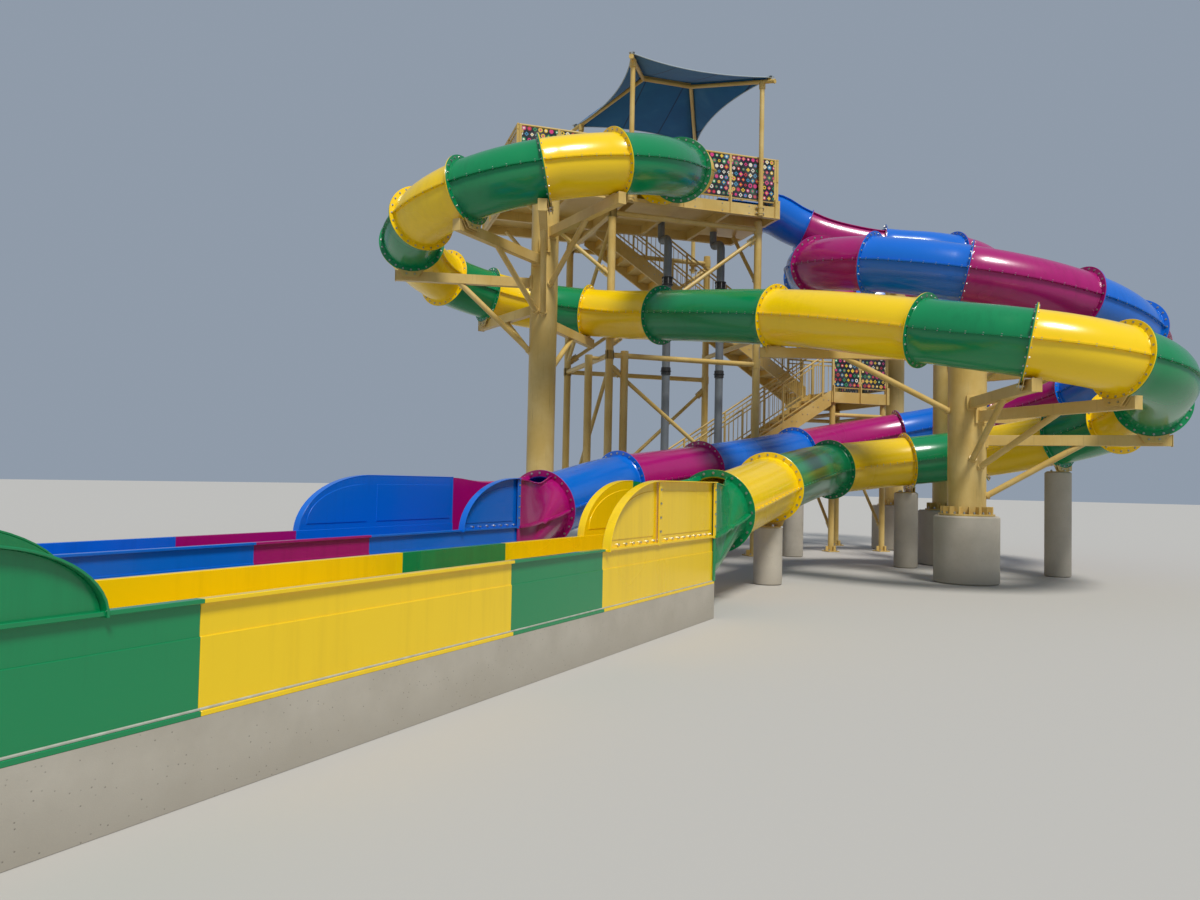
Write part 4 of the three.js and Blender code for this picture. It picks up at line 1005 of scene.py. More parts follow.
def cheek_plates(line, s, half_foot, foot, reach=24):
    """Two plates cut to the flange, one on each side of a joint, and their clamp bolts."""
    at, side, top, along = frame_at(line, s)
    plates, bolts = [], []
    angles = [math.radians(reach) * k / 8 for k in range(-8, 9)]
    outline = [(CLAMP_RADIUS * math.sin(a), -CLAMP_RADIUS * math.cos(a)) for a in angles]
    outline = [(-half_foot, -foot), *outline, (half_foot, -foot)]
    for away in (-0.0265, 0.0265):
        flat = [[at + along * (away + thick) + side * across + top * high for across, high in outline]
                for thick in (-0.006, 0.006)]
        count = len(outline)
        faces = [list(range(count)), list(range(2 * count - 1, count - 1, -1))]
        faces += [(i, (i + 1) % count, count + (i + 1) % count, count + i) for i in range(count)]
        plate = mesh_object("cheek", flat[0] + flat[1], faces)
        bpy.ops.object.mode_set(mode="EDIT")
        finish_edit()
        plates.append(painted(plate, tan_enamel))
    middle = (foot + CLAMP_RADIUS) / 2
    for across in (-0.55 * half_foot, 0.55 * half_foot):
        turn = Matrix((along, side, along.cross(side))).transposed().to_4x4()
        spot = at + side * across - top * middle
        bolts.append(copy_of(gusset_bolt, Matrix.Translation(spot) @ turn @ Matrix.Diagonal((1.9, 1, 1, 1))))
    return plates, bolts


# %% [markdown]
# A column is built from its base plate up: stiffeners and anchor bolts, the shaft, then an arm with its
# brace and its clamp plates for each joint that it holds. Its pier is cast with a small chamfer.

# %% Columns and piers
def column(node, x, y, radius, top, arms):
    """One column with its arms, base, pier and bolts."""
    shaft = painted(pipe((x, y, 1.15), (x, y, top), radius, 48), tan_enamel)
    parts = [shaft, painted(pipe((x, y, top - 0.0005), (x, y, top + 0.0115), radius + 0.008, 48), tan_enamel),
             painted(pipe((x, y, 1.122), (x, y, 1.152), radius + 0.140, 48), tan_enamel)]
    bolts = []
    count = 16 if radius > 0.27 else 12
    for k in range(count):
        a = 2 * math.pi * (k + 0.5) / count
        out = Vector((math.cos(a), math.sin(a), 0))
        foot = Vector((x, y, 1.212)) + out * (radius + 0.052)
        parts.append(painted(turned_box(foot, (0.116, 0.012, 0.122), a), tan_enamel))
        b = 2 * math.pi * k / count
        circle = radius + 0.085
        bolts.append(upright_bolt(x + circle * math.cos(b), y + circle * math.sin(b), 1.166))
    for line, s, drop in arms:
        at = frame_at(line, s)[0]
        level = at.z - 0.61
        flat = Vector((at.x - x, at.y - y, 0))
        reach = flat.length
        out = flat.normalized()
        here = Vector((x, y, 0))
        tip = here + out * (reach + 0.26) + step_up(level)
        root = here + out * (0.6 * radius) + step_up(level)
        parts.append(painted(bar(root, tip, 0.120, 0.170), tan_enamel))
        parts.append(painted(bar(tip, tip + out * 0.010, 0.140, 0.190), tan_enamel))
        collar = here + out * (radius + 0.012) + step_up(level)
        parts.append(painted(bar(collar - out * 0.03, collar + out * 0.012, 0.210, 0.240), tan_enamel))
        low = here + out * (0.6 * radius) + step_up(level - drop)
        high = here + out * (0.66 * reach) + step_up(level - 0.02)
        parts.append(painted(pipe(low, high, 0.050, 20), tan_enamel))
        way = (high - low).normalized()
        seat = low + way * (0.4 * radius / max(way.x * out.x + way.y * out.y, 0.3) + 0.015)
        parts.append(painted(pipe(seat - way * 0.02, seat + way * 0.02, 0.066, 20), tan_enamel))
        pad = here + out * (reach - 0.16) + step_up(level + 0.091)
        parts.append(painted(bar(pad, pad + out * 0.32, 0.150, 0.012), tan_enamel))
        plates, clamps = cheek_plates(line, s, 0.130, 0.66)
        parts += plates
        bolts += clamps
        for d in (-0.12, 0.12):
            spot = here + out * (reach + d) + step_up(level + 0.100)
            bolts.append(upright_bolt(*spot))
    piece = join(parts, node + "_steel")
    soften(piece, 0.003, 35)
    keep(piece, SITE, [node])
    keep(join(bolts, node + "_bolts"), SITE)
    bpy.ops.mesh.primitive_cylinder_add(vertices=64, radius=0.52, depth=1.12, location=(0, 0, 0))
    pier = bpy.context.object
    pier.data.transform(Matrix.Translation((x, y, 0.56)))
    pier.name = node + "_pier_cast"
    pier.data.materials.append(concrete)
    soften(pier, 0.025, 25)
    keep(pier, SITE, [node + "_pier"])


column("column_left", 0.102, -5.442, 0.245, 6.7,
       [(line_a, 26.9, 1.0), (line_a, 29.0, 1.0), (line_a, 31.75, 1.3), (line_a, 33.9, 1.0),
        (line_a, 35.15, 1.3), (line_a, 36.3, 1.0)])
column("column_right", 6.964, -2.964, 0.305, 3.98,
       [(line_a, 22.4, 1.0), (line_a, 18.25, 1.0), (line_a, 14.5, 1.0), (line_a, 17.0, 0.9)])
column("column_far", 4.515, 4.665, 0.245, 6.65,
       [(line_b, 34.55, 0.7), (line_b, 37.95, 1.0), (line_b, 41.35, 1.0), (line_b, TROUGH_START, 1.0)])
column("column_mid", 6.214, 0.608, 0.245, 4.25,
       [(line_b, 13.15, 0.5), (line_b, 17.15, 1.0), (line_b, 20.8, 1.0), (line_b, 22.45, 0.9)])


def low_pier(node, line, s):
    """A short round pier whose cheek plates clamp a low joint."""
    at = frame_at(line, s)[0]
    top = at.z - 0.62
    cast = painted(pipe((at.x, at.y, 0), (at.x, at.y, top), 0.225, 48), concrete)
    cast.name = node + "_cast"
    soften(cast, 0.018, 25)
    keep(cast, SITE, [node])
    parts, bolts = cheek_plates(line, s, 0.200, 0.612, 26)
    parts.append(painted(pipe((at.x, at.y, top), (at.x, at.y, top + 0.014), 0.195, 40), tan_enamel))
    bolts += [upright_bolt(at.x + 0.155 * math.cos(a), at.y + 0.155 * math.sin(a), top + 0.020)
              for a in [math.pi / 4 + math.pi / 2 * k for k in range(4)]]
    keep(soften(join(parts, node + "_saddle"), 0.002, 35), SITE)
    keep(join(bolts, node + "_bolts"), SITE)


for node, line, s in (("pier_a_1", line_a, 3.95), ("pier_a_2", line_a, 9.15), ("pier_a_3", line_a, 11.95),
                      ("pier_b_1", line_b, 6.35), ("pier_b_2", line_b, 9.95)):
    low_pier(node, line, s)
print("columns and piers, pieces so far:", len(pieces_made))

# %% [markdown]
# ## The stair tower, landing and canopy frames
# Round pipes are welded nose to side. Every upright stands on a base plate with four anchor bolts and four
# small stiffeners, and a brace is bolted to a gusset plate where it meets a post.

# %% Pipe frames
def upright(p, q, z0, z1, radius, plate, thick):
    """A post with a base plate, stiffeners and anchor bolts."""
    parts = [painted(pipe((p, q, z0), (p, q, z1), radius, 28), tan_enamel)]
    bolts = []
    if plate:
        parts.append(painted(turned_box((p, q, thick / 2), (plate, plate, thick)), tan_enamel))
        for k in range(4):
            a = math.pi / 2 * k
            arm = radius + (plate / 2 - radius) * 0.42
            parts.append(painted(turned_box((p + arm * math.cos(a), q + arm * math.sin(a), thick + 0.055),
                                            ((plate / 2 - radius) * 0.9, 0.010, 0.11), a), tan_enamel))
            corner = plate / 2 - 0.05
            bolts.append(upright_bolt(p + corner * (1 if k in (0, 3) else -1),
                                      q + corner * (1 if k < 2 else -1), thick + 0.012))
    return parts, bolts


def brace(a, b, radius, ends=(True, True)):
    """A diagonal pipe with a bolted gusset plate at its ends."""
    a, b = Vector(a), Vector(b)
    way = (b - a).normalized()
    parts = [painted(pipe(a, b, radius, 20), tan_enamel)]
    bolts = []
    for spot, inward, wanted in ((a, way, ends[0]), (b, -way, ends[1])):
        if not wanted:
            continue
        near, far = spot + inward * 0.06, spot + inward * 0.30
        parts.append(painted(bar(near, far, 0.014, radius * 2 + 0.075), tan_enamel))
        place = laid_along(near, far)
        for along_by, up_by in ((-0.03, 1), (-0.03, -1), (0.075, 1), (0.075, -1)):
            bolts.append(copy_of(gusset_bolt, place @ Matrix.Translation(
                (0, along_by, up_by * (radius + 0.018))) @ Matrix.Diagonal((0.8, 0.8, 0.8, 1))))
    return parts, bolts


def gather(groups, node):
    """Joins parts and bolts of a frame, and keeps both."""
    parts = [part for group in groups for part in group[0]]
    bolts = [bolt for group in groups for bolt in group[1]]
    piece = join(parts, node + "_welded")
    soften(piece, 0.0025, 35)
    keep(piece, TOWER, [node])
    if bolts:
        keep(join(bolts, node + "_bolts"), TOWER)


FL, FR = Vector((-1.775, -1.650, 0)), Vector((1.675, -1.600, 0))
BR, BL = Vector((1.900, 1.650, 0)), Vector((-1.775, 1.650, 0))


def up(point, z):
    """The same place in plan at height z."""
    return Vector((point.x, point.y, z))


groups = [upright(p.x, p.y, 0.0, 7.4396, 0.084, 0.380, 0.026) for p in (FL, FR, BR, BL)]
groups.append(upright(-1.440, -1.650, 0.0, 4.330, 0.084, 0.320, 0.026))
groups.append(upright(-2.050, -1.050, 0.0, 4.290, 0.084, 0.320, 0.026))
groups.append(([painted(pipe((-2.05, -1.05, 4.23), (-1.775, -1.05, 4.23), 0.040), tan_enamel),
                painted(pipe((-1.775, -1.65, 4.23), (-1.775, -1.05, 4.23), 0.040), tan_enamel)], []))
RINGS_AT = (4.23, 7.25)
for a, b, levels in ((FL, FR, RINGS_AT), (FR, BR, (4.8,)), (BL, BR, RINGS_AT), (FL, BL, RINGS_AT)):
    for z in levels:
        groups.append(([painted(pipe(up(a, z), up(b, z), 0.057, 24), tan_enamel)], []))
        for p in (a, b):
            groups.append(([painted(pipe(up(p, z - 0.09), up(p, z + 0.09), 0.094, 28), tan_enamel)], []))
for a, b in ((up(FL, 4.45), up(FR, 7.1)), (up(FL, 4.0), up(FR, 1.3)), (up(BL, 4.45), up(FL, 7.1)),
             (up(FL, 4.0), up(BL, 0.6)), (up(BL, 4.45), up(BR, 7.1)), (up(BR, 4.0), up(BL, 0.6))):
    groups.append(brace(a, b, 0.044))
groups.append(brace(up(FR, 6.0), (1.7, -0.3, 7.42), 0.044, (True, False)))
groups.append(brace(up(FL, 5.9), (-3.5, -1.1, 7.4), 0.044, (True, False)))
groups.append(brace(up(BL, 5.9), (-3.5, 1.1, 7.4), 0.044, (True, False)))
gather(groups, "tower_frame")

groups = [upright(p, q, 0.0, 3.588, 0.070, 0.300, 0.022) for p in (4.29, 5.71) for q in (-0.53, 1.50)]
corners = [Vector((p, q, 0)) for p, q in ((4.29, -0.53), (5.71, -0.53), (5.71, 1.50), (4.29, 1.50))]
for a, b in zip(corners, corners[1:] + corners[:1]):
    groups.append(([painted(pipe(up(a, 3.3), up(b, 3.3), 0.050, 24), tan_enamel)], []))
for p in (4.29, 5.71):
    groups.append(brace((p, -0.53, 0.5), (p, 1.50, 3.15), 0.038))
gather(groups, "landing_frame")

# %% [markdown]
# Four posts, clamped to the platform's edge, carry a short ridge on four hip rafters. Each rafter runs a
# little past its post, where a tab takes one corner of the sail.

# %% Canopy frame
RIDGE_ENDS = [Vector((-0.6, -0.15, 10.95)), Vector((0.6, -0.15, 10.95))]
CANOPY_POSTS = [(-1.5, -1.997, 7.445), (1.52, -1.997, 7.445), (-1.55, 1.6924, 7.445), (1.55, 1.76, 7.0)]


def rafter_line(p, q):
    """The ridge end above a post, the way out to it in plan, and how steeply the rafter falls."""
    end = RIDGE_ENDS[0 if p < 0 else 1]
    flat = Vector((p - end.x, q - end.y, 0))
    return end, flat.normalized(), flat.length, 0.52 / flat.length


groups = [([painted(pipe(RIDGE_ENDS[0], RIDGE_ENDS[1], 0.045, 24), tan_enamel),
            painted(bar((-0.6, -0.15, 10.993), (0.6, -0.15, 10.993), 0.006, 0.075), tan_enamel)], [])]
for p, q, z in CANOPY_POSTS:
    end, out, length, fall = rafter_line(p, q)
    tip = end + out * (length + 0.33) - step_up(fall * (length + 0.33))
    eye = end + out * (length + 0.19) + step_up(0.058 - fall * (length + 0.19))
    parts = [painted(pipe((p, q, z), (p, q, 10.45), 0.052, 28), tan_enamel),
             painted(pipe(end, tip, 0.045, 24), tan_enamel),
             painted(pipe(tip - out * 0.02, tip + out * 0.006, 0.052, 24), tan_enamel),
             painted(pipe((p, q, 10.27), (p, q, 10.42), 0.070, 28), tan_enamel),
             painted(bar(eye - out * 0.04, eye + out * 0.04, 0.006, 0.060), tan_enamel)]
    bolts = []
    inward = 1 if q < 0 else -1
    for level in (z + 0.07, z + 0.19):
        parts.append(painted(pipe((p, q, level - 0.025), (p, q, level + 0.025), 0.060, 28), tan_enamel))
        for shift in (-0.082, 0.082):
            ear = turned_box((p + shift, q + inward * 0.030, level), (0.060, 0.012, 0.05))
            parts.append(painted(ear, tan_enamel))
            bolts.append(copy_of(gusset_bolt, Matrix.Translation((p + shift, q + inward * 0.022, level))
                                 @ quarter("Z") @ Matrix.Diagonal((0.7, 0.7, 0.7, 1))))
    groups.append((parts, bolts))
gather(groups, "canopy_frame")
print("frames made, pieces so far:", len(pieces_made))

# %% [markdown]
# ## Guards, panels and rails
# Square posts carry a round top rail and two flat lower rails. Some guards hold a printed panel in every
# bay; the others and the stair rails have thin upright balusters. The print is a plain made-up pattern of
# discs and lozenges in bright colours on a dark ground, in staggered rows, each with its own chance tint. It
# is drawn on the panel's own map, whose unit is a metre.

# %% Printed panel
def value_node(material, operation, first, second=0.0, third=0.0):
    """A Math node; numbers and outputs may both be given."""
    node = material.node_tree.nodes.new("ShaderNodeMath")
    node.operation = operation
    for slot_number, source in enumerate((first, second, third)):
        if isinstance(source, (int, float)):
            node.inputs[slot_number].default_value = source
        else:
            material.node_tree.links.new(source, node.inputs[slot_number])
    return node.outputs["Value"]


# Glossy as a laminate, with its colours chalked in patches by the sun.
printed, shader = new_material("printed_panel", IOR=1.5, Coat_Weight=0.35, Coat_Roughness=0.12)
place = add_node(printed, "UVMap")
split = add_node(printed, "SeparateXYZ", (), {"Vector": place.outputs["UV"]})
CELL = 0.115
column_of = value_node(printed, "DIVIDE", split.outputs["X"], CELL)
row_of = value_node(printed, "DIVIDE", split.outputs["Y"], CELL)
row_number = value_node(printed, "FLOOR", row_of)
shifted = value_node(printed, "MULTIPLY_ADD", value_node(printed, "MODULO", row_number, 2.0), 0.5, column_of)
cell = add_node(printed, "CombineXYZ", (), {"X": value_node(printed, "FLOOR", shifted), "Y": row_number})
chance = add_node(printed, "TexWhiteNoise", {"noise_dimensions": "2D"}, {"Vector": cell.outputs["Vector"]})
draws = add_node(printed, "SeparateColor", (), {"Color": chance.outputs["Color"]})
across = value_node(printed, "SUBTRACT", value_node(printed, "FRACT", shifted), 0.5)
upward = value_node(printed, "SUBTRACT", value_node(printed, "FRACT", row_of), 0.5)
span = value_node(printed, "ABSOLUTE", across)
tall = value_node(printed, "ABSOLUTE", upward)
round_away = value_node(printed, "SQRT", value_node(
    printed, "ADD", value_node(printed, "POWER", across, 2.0), value_node(printed, "POWER", upward, 2.0)))
lozenge_away = value_node(printed, "MULTIPLY", value_node(printed, "ADD", span, tall), 0.82)
is_lozenge = value_node(printed, "GREATER_THAN", draws.outputs["Red"], 0.55)
away = add_node(printed, "Mix", {"data_type": "FLOAT"}, {0: is_lozenge, 2: round_away, 3: lozenge_away})
size = add_node(printed, "MapRange", {"To Min": 0.26, "To Max": 0.42}, {"Value": draws.outputs["Green"]})
filled = value_node(printed, "LESS_THAN", away.outputs[0], size.outputs["Result"])
core_size = value_node(printed, "MULTIPLY", size.outputs["Result"], 0.45)
core = value_node(printed, "LESS_THAN", away.outputs[0], core_size)


def striking(source, stops):
    """A ramp of flat colours for a chance value."""
    ramp = printed.node_tree.nodes.new("ShaderNodeValToRGB")
    ramp.color_ramp.interpolation = "CONSTANT"
    for number, hex_colour in enumerate(stops):
        at = number / len(stops)
        mark = ramp.color_ramp.elements[number] if number < 2 else ramp.color_ramp.elements.new(at)
        mark.position = at
        mark.color = linear(hex_colour)
    printed.node_tree.links.new(source, ramp.inputs["Fac"])
    return ramp.outputs["Color"]


body_tint = striking(draws.outputs["Blue"], ["d9357f", "e8c12e", "2b8f5a", "e9e4d2", "c92f3c", "3f8fb8"])
core_tint = striking(chance.outputs["Value"], ["f0ead8", "d9357f", "14161c", "e8c12e"])
shape = add_node(printed, "Mix", {"data_type": "RGBA", 6: linear("12141b")}, {0: filled, 7: body_tint})
cored = add_node(printed, "Mix", {"data_type": "RGBA"}, {0: core, 6: shape.outputs[2], 7: core_tint})
fade = add_node(printed, "TexNoise", {"Scale": 3.0, "Detail": 4.0}, {"Vector": place.outputs["UV"]})
chalk = add_node(printed, "MapRange", {"From Min": 0.45, "From Max": 0.75, "To Max": 0.22},
                 {"Value": fade.outputs["Fac"]})
worn = add_node(printed, "Mix", {"data_type": "RGBA", 7: linear("a9a99f")},
                {0: chalk.outputs["Result"], 6: cored.outputs[2]})
sheen = add_node(printed, "MapRange", {"To Min": 0.30, "To Max": 0.50}, {"Value": fade.outputs["Fac"]})
wire(printed, shader, Base_Color=worn.outputs[2], Roughness=sheen.outputs["Result"])


def print_map(panel, start, a, b, z):
    """Maps a panel in metres: along the run and up from its foot."""
    way = (b - a).normalized()
    while panel.data.uv_layers:
        panel.data.uv_layers.remove(panel.data.uv_layers[0])
    layer = panel.data.uv_layers.new(name="UVMap")
    for loop in panel.data.loops:
        spot = panel.data.vertices[loop.vertex_index].co
        layer.data[loop.index].uv = (start + (spot - a).dot(way), spot.z - z)


# %% [markdown]
# A guard is one or more straight runs. Each run spaces its posts evenly, bolts a bracket at every post to
# the edge of the deck, and fills its bays with panels or balusters.

# %% Guards
def face_bolt(spot, out, length, width):
    """A bolt whose head points along out, its size given as shares of the usual one."""
    return copy_of(gusset_bolt, Matrix.Translation(spot) @ laid_along(-out, out) @ quarter("Z")
                   @ Matrix.Diagonal((length, width, width, 1)))


def guard_run(a, b, floor_z, filled, out):
    """One straight guard, with a bracket at every post. out points away from the floor."""
    a, b = Vector((*a, 0)), Vector((*b, 0))
    way = (b - a).normalized()
    length = (b - a).length
    count = max(1, math.ceil((length - 0.05) / 1.15))
    stops = [0.025 + (length - 0.05) * i / count for i in range(count + 1)]
    out = Vector((*out, 0))
    parts, bolts = [], []
    for d in stops:
        spot = a + way * d
        parts.append(painted(bar(spot + step_up(floor_z), spot + step_up(floor_z + 1.045), 0.05, 0.05),
                             tan_enamel))
        face = spot + out * 0.041
        parts.append(painted(bar(face + step_up(floor_z - 0.25), face + step_up(floor_z + 0.16),
                                 *((0.032, 0.070) if abs(out.x) > 0.5 else (0.070, 0.032))), tan_enamel))
        for lift in (-0.19, -0.07, 0.10):
            bolts.append(face_bolt(face + out * 0.004 + step_up(floor_z + lift), out, 0.8, 0.8))
    parts.append(painted(pipe(a + step_up(floor_z + 1.055), b + step_up(floor_z + 1.055), 0.024, 20),
                         tan_enamel))
    for z in (0.11, 0.56) if filled else (0.11, 0.95):
        parts.append(painted(bar(a + step_up(floor_z + z), b + step_up(floor_z + z), 0.030, 0.030),
                             tan_enamel))
    for first, last in zip(stops, stops[1:]):
        if filled:
            start, end = a + way * (first + 0.032), a + way * (last - 0.032)
            middle = out * 0.020 + step_up(floor_z + 0.575)
            panel = painted(bar(start + middle, end + middle, 0.010, 0.90), printed)
            print_map(panel, first, a, b, floor_z + 0.125)
            parts.append(panel)
            for d in (first + 0.034, last - 0.034):
                for lift in (0.24, 0.58, 0.92):
                    clip = a + way * d + out * 0.018 + step_up(floor_z + lift)
                    plate = bar(clip - way * 0.022, clip + way * 0.022, 0.026, 0.055)
                    parts.append(painted(plate, tan_enamel))
        else:
            rungs = max(2, round((last - first) / 0.115))
            pitch = (last - first) / rungs
            spot = a + way * (first + pitch)
            rod = painted(pipe(spot + step_up(floor_z + 0.11), spot + step_up(floor_z + 0.95), 0.008, 8),
                          tan_enamel)
            repeat(rod, rungs - 1, tuple(way * pitch))
            parts.append(rod)
    return parts, bolts


def guard_piece(node, runs):
    """A guard of one or more runs."""
    groups = [guard_run(*run) for run in runs]
    parts = [part for group in groups for part in group[0]]
    bolts = [bolt for group in groups for bolt in group[1]]
    piece = join(parts, node + "_railing")
    smooth(piece, 35)
    keep(piece, TOWER, [node])
    if bolts:
        keep(join(bolts, node + "_bolts"), TOWER)


DECK = 7.70
guard_piece("guard_front_left", [((-3.875, -1.8996), (-1.410, -1.8996), DECK, True, (0, -1))])
guard_piece("guard_front_right", [((-0.290, -1.8996), (1.935, -1.8996), DECK, True, (0, -1))])
guard_piece("guard_right", [((1.965, -1.9246), (1.965, -1.209), DECK, True, (1, 0))])
guard_piece("guard_back", [((1.965, -0.209), (1.965, 0.410), DECK, False, (1, 0)),
                           ((-1.450, 0.385), (1.940, 0.385), DECK, False, (0, 1))])
guard_piece("guard_left", [((-3.905, -1.9246), (-3.905, 1.620), DECK, False, (-1, 0)),
                           ((-3.880, 1.595), (-1.480, 1.595), DECK, False, (0, 1))])
guard_piece("landing_guard", [((4.220, -0.615), (5.755, -0.615), 3.85, True, (0, -1)),
                              ((5.755, -0.640), (5.755, 1.585), 3.85, True, (1, 0)),
                              ((4.220, 1.560), (5.730, 1.560), 3.85, False, (0, 1))])
print("guards made, pieces so far:", len(pieces_made))

# %% [markdown]
# ## Stairs
# The flights keep their solids for stringers and treads. Thin riser plates close them, grit strips edge
# the treads, and two bolts hold each tread to each stringer. The rails follow the slope.

# %% Stair rails and treads
RISE, GOING, FLIGHT = 0.18333, 0.2825, 5.65


def flight_point(start_p, way, base, d, q, lift):
    """A place on a flight at distance d along it, a height above the nosing line."""
    return Vector((start_p + way * d, q, base + RISE * (d / GOING + 1) + lift))


def stair_rail(node, start_p, way, base, q):
    """A rail on one side of a flight."""
    parts = []
    first, last = 0.5 * GOING, FLIGHT - 0.8 * GOING
    stops = [first + (last - first) * i / 5 for i in range(6)]
    for d in stops:
        foot = flight_point(start_p, way, base, d, q, 0.025)
        parts.append(painted(bar(foot, foot + step_up(0.95), 0.040, 0.040), tan_enamel))
        parts.append(painted(turned_box(foot + step_up(0.010), (0.075, 0.046, 0.012)), tan_enamel))
    for lift in (0.120, 0.880):
        a = flight_point(start_p, way, base, first, q, lift)
        b = flight_point(start_p, way, base, last, q, lift)
        parts.append(painted(bar(a, b, 0.026, 0.026), tan_enamel))
    a = flight_point(start_p, way, base, first - 0.10, q, 0.985)
    b = flight_point(start_p, way, base, last + 0.10, q, 0.985)
    parts.append(painted(pipe(a, b, 0.022, 20), tan_enamel))
    for begin, end in zip(stops, stops[1:]):
        rungs = round((end - begin) / 0.118)
        pitch = (end - begin) / rungs
        foot = flight_point(start_p, way, base, begin + pitch, q, 0.12)
        rod = painted(pipe(foot, foot + step_up(0.76), 0.008, 8), tan_enamel)
        repeat(rod, rungs - 1, (way * pitch, 0, RISE * pitch / GOING))
        parts.append(rod)
    piece = join(parts, node + "_railing")
    smooth(piece, 35)
    keep(piece, TOWER, [node])


stair_rail("lower_rail_front", -1.450, 1, 0.0, -0.595)
stair_rail("lower_rail_back", -1.450, 1, 0.0, 0.355)
stair_rail("upper_rail_front", 4.200, -1, 3.85, 0.585)
stair_rail("upper_rail_back", 4.200, -1, 3.85, 1.535)

# Rough and quite matt, with a sandy grain and paler patches where feet wear it.
tread_grit, shader = new_material("tread_grit", Roughness=0.93, IOR=1.48)
place = add_node(tread_grit, "TexCoord")
grain = add_node(tread_grit, "TexNoise", {"Scale": 160.0, "Detail": 4.0}, {"Vector": place.outputs["Object"]})
worn = add_node(tread_grit, "TexNoise", {"Scale": 2.2, "Detail": 5.0}, {"Vector": place.outputs["Object"]})
tone = add_node(tread_grit, "Mix", {"data_type": "RGBA", 6: linear("8a7a4c"), 7: linear("b9a56c")},
                {0: worn.outputs["Fac"]})
bump = add_node(tread_grit, "Bump", {"Strength": 0.7, "Distance": 0.002}, {"Height": grain.outputs["Fac"]})
wire(tread_grit, shader, Base_Color=tone.outputs[2], Normal=bump.outputs["Normal"])

for flight, start_p, way, base, q0, q1 in (("lower_flight", -1.450, 1, 0.0, -0.620, 0.380),
                                           ("upper_flight", 4.200, -1, 3.85, 0.560, 1.560)):
    middle = (q0 + q1) / 2
    step = (way * GOING, 0, RISE)
    plate = turned_box((start_p + way * 0.012, middle, base + RISE - 0.118), (0.005, 0.888, 0.128))
    painted(plate, sun_enamel)
    strip = turned_box((start_p + way * 0.030, middle, base + RISE + 0.003), (0.055, 0.888, 0.006))
    painted(strip, tread_grit)
    for thing in (plate, strip):
        repeat(thing, 20, step)
    keep(join([plate, strip], flight + "_risers_and_nosings"), TOWER)
    screws = []
    for q in (q0 - 0.004, q1 + 0.004):
        for along_by in (0.075, 0.205):
            spot = (start_p + way * along_by, q, base + RISE - 0.025)
            screw = copy_of(gusset_bolt, Matrix.Translation(spot) @ quarter("Z")
                            @ Matrix.Diagonal((0.35, 0.6, 0.6, 1)))
            repeat(screw, 20, step)
            screws.append(screw)
    keep(join(screws, flight + "_bolts"), TOWER)

# %% [markdown]
# Grit-coated sheets lie on both decks in rows, cut round the start tubs. A flange with screws runs along
# the platform's edge.

# %% Decks
def deck_strips(name, areas, top, holes):
    """Grit-coated sheets on a deck, laid in rows and cut round openings."""
    parts = []
    for p0, p1, q0, q1 in areas:
        rows = max(1, round((q1 - q0) / 0.6))
        for i in range(rows):
            low, high = q0 + (q1 - q0) * i / rows + 0.003, q0 + (q1 - q0) * (i + 1) / rows - 0.003
            spans = [(p0, p1)]
            for h0, h1, g0, g1 in holes:
                if g1 > low and g0 < high:
                    spans = [piece for s0, s1 in spans for piece in ((s0, min(s1, h0)), (max(s0, h1), s1))
                             if piece[1] - piece[0] > 0.02]
            for s0, s1 in spans:
                parts.append(painted(turned_box(((s0 + s1) / 2, (low + high) / 2, top + 0.0025),
                                                (s1 - s0 - 0.006, high - low, 0.005)), tread_grit))
    keep(join(parts, name), TOWER)


deck_strips("platform_sheets", [(-3.86, 1.93, -1.86, 0.34), (-3.86, -1.50, 0.34, 1.55)], DECK,
            [(-1.375, -0.325, -1.95, -0.73), (0.795, 2.02, -1.235, -0.185)])
deck_strips("landing_sheets", [(4.215, 5.71, -0.57, 1.52)], 3.85, [])

brackets, screws = [], []
for start, end, out in (
        ((-3.95, -1.9446), (2.01, -1.9446), (0, -1)), ((-3.95, -1.9446), (-3.95, 1.64), (-1, 0)),
        ((-3.95, 1.64), (-1.45, 1.64), (0, 1)), ((-1.45, 0.43), (2.01, 0.43), (0, 1))):
    a, b = Vector((*start, DECK)), Vector((*end, DECK))
    way = (b - a).normalized()
    out = Vector((*out, 0))
    brackets.append(painted(bar(a + out * 0.004 + step_up(-0.255), b + out * 0.004 + step_up(-0.255),
                                0.008 + 0.050, 0.010), tan_enamel))
    for d in stops_between(0.1, (b - a).length - 0.1, 0.62):
        for drop in (0.05, 0.20):
            screws.append(face_bolt(a + way * d - step_up(drop), out, 0.4, 0.7))
keep(join(brackets, "platform_fascia_flanges"), TOWER)
keep(join(screws, "platform_fascia_bolts"), TOWER)
print("stairs and decks, pieces so far:", len(pieces_made))

# %% [markdown]
# ## Sail
# The sail is one sheet of knitted shade cloth, stretched over the ridge and hips. Its edges bow inwards
# between the corners round a pale webbing, and its widths of 0.95 m meet in stitched seams. Knit and seams
# are drawn on the cloth's own map, whose unit is a metre.

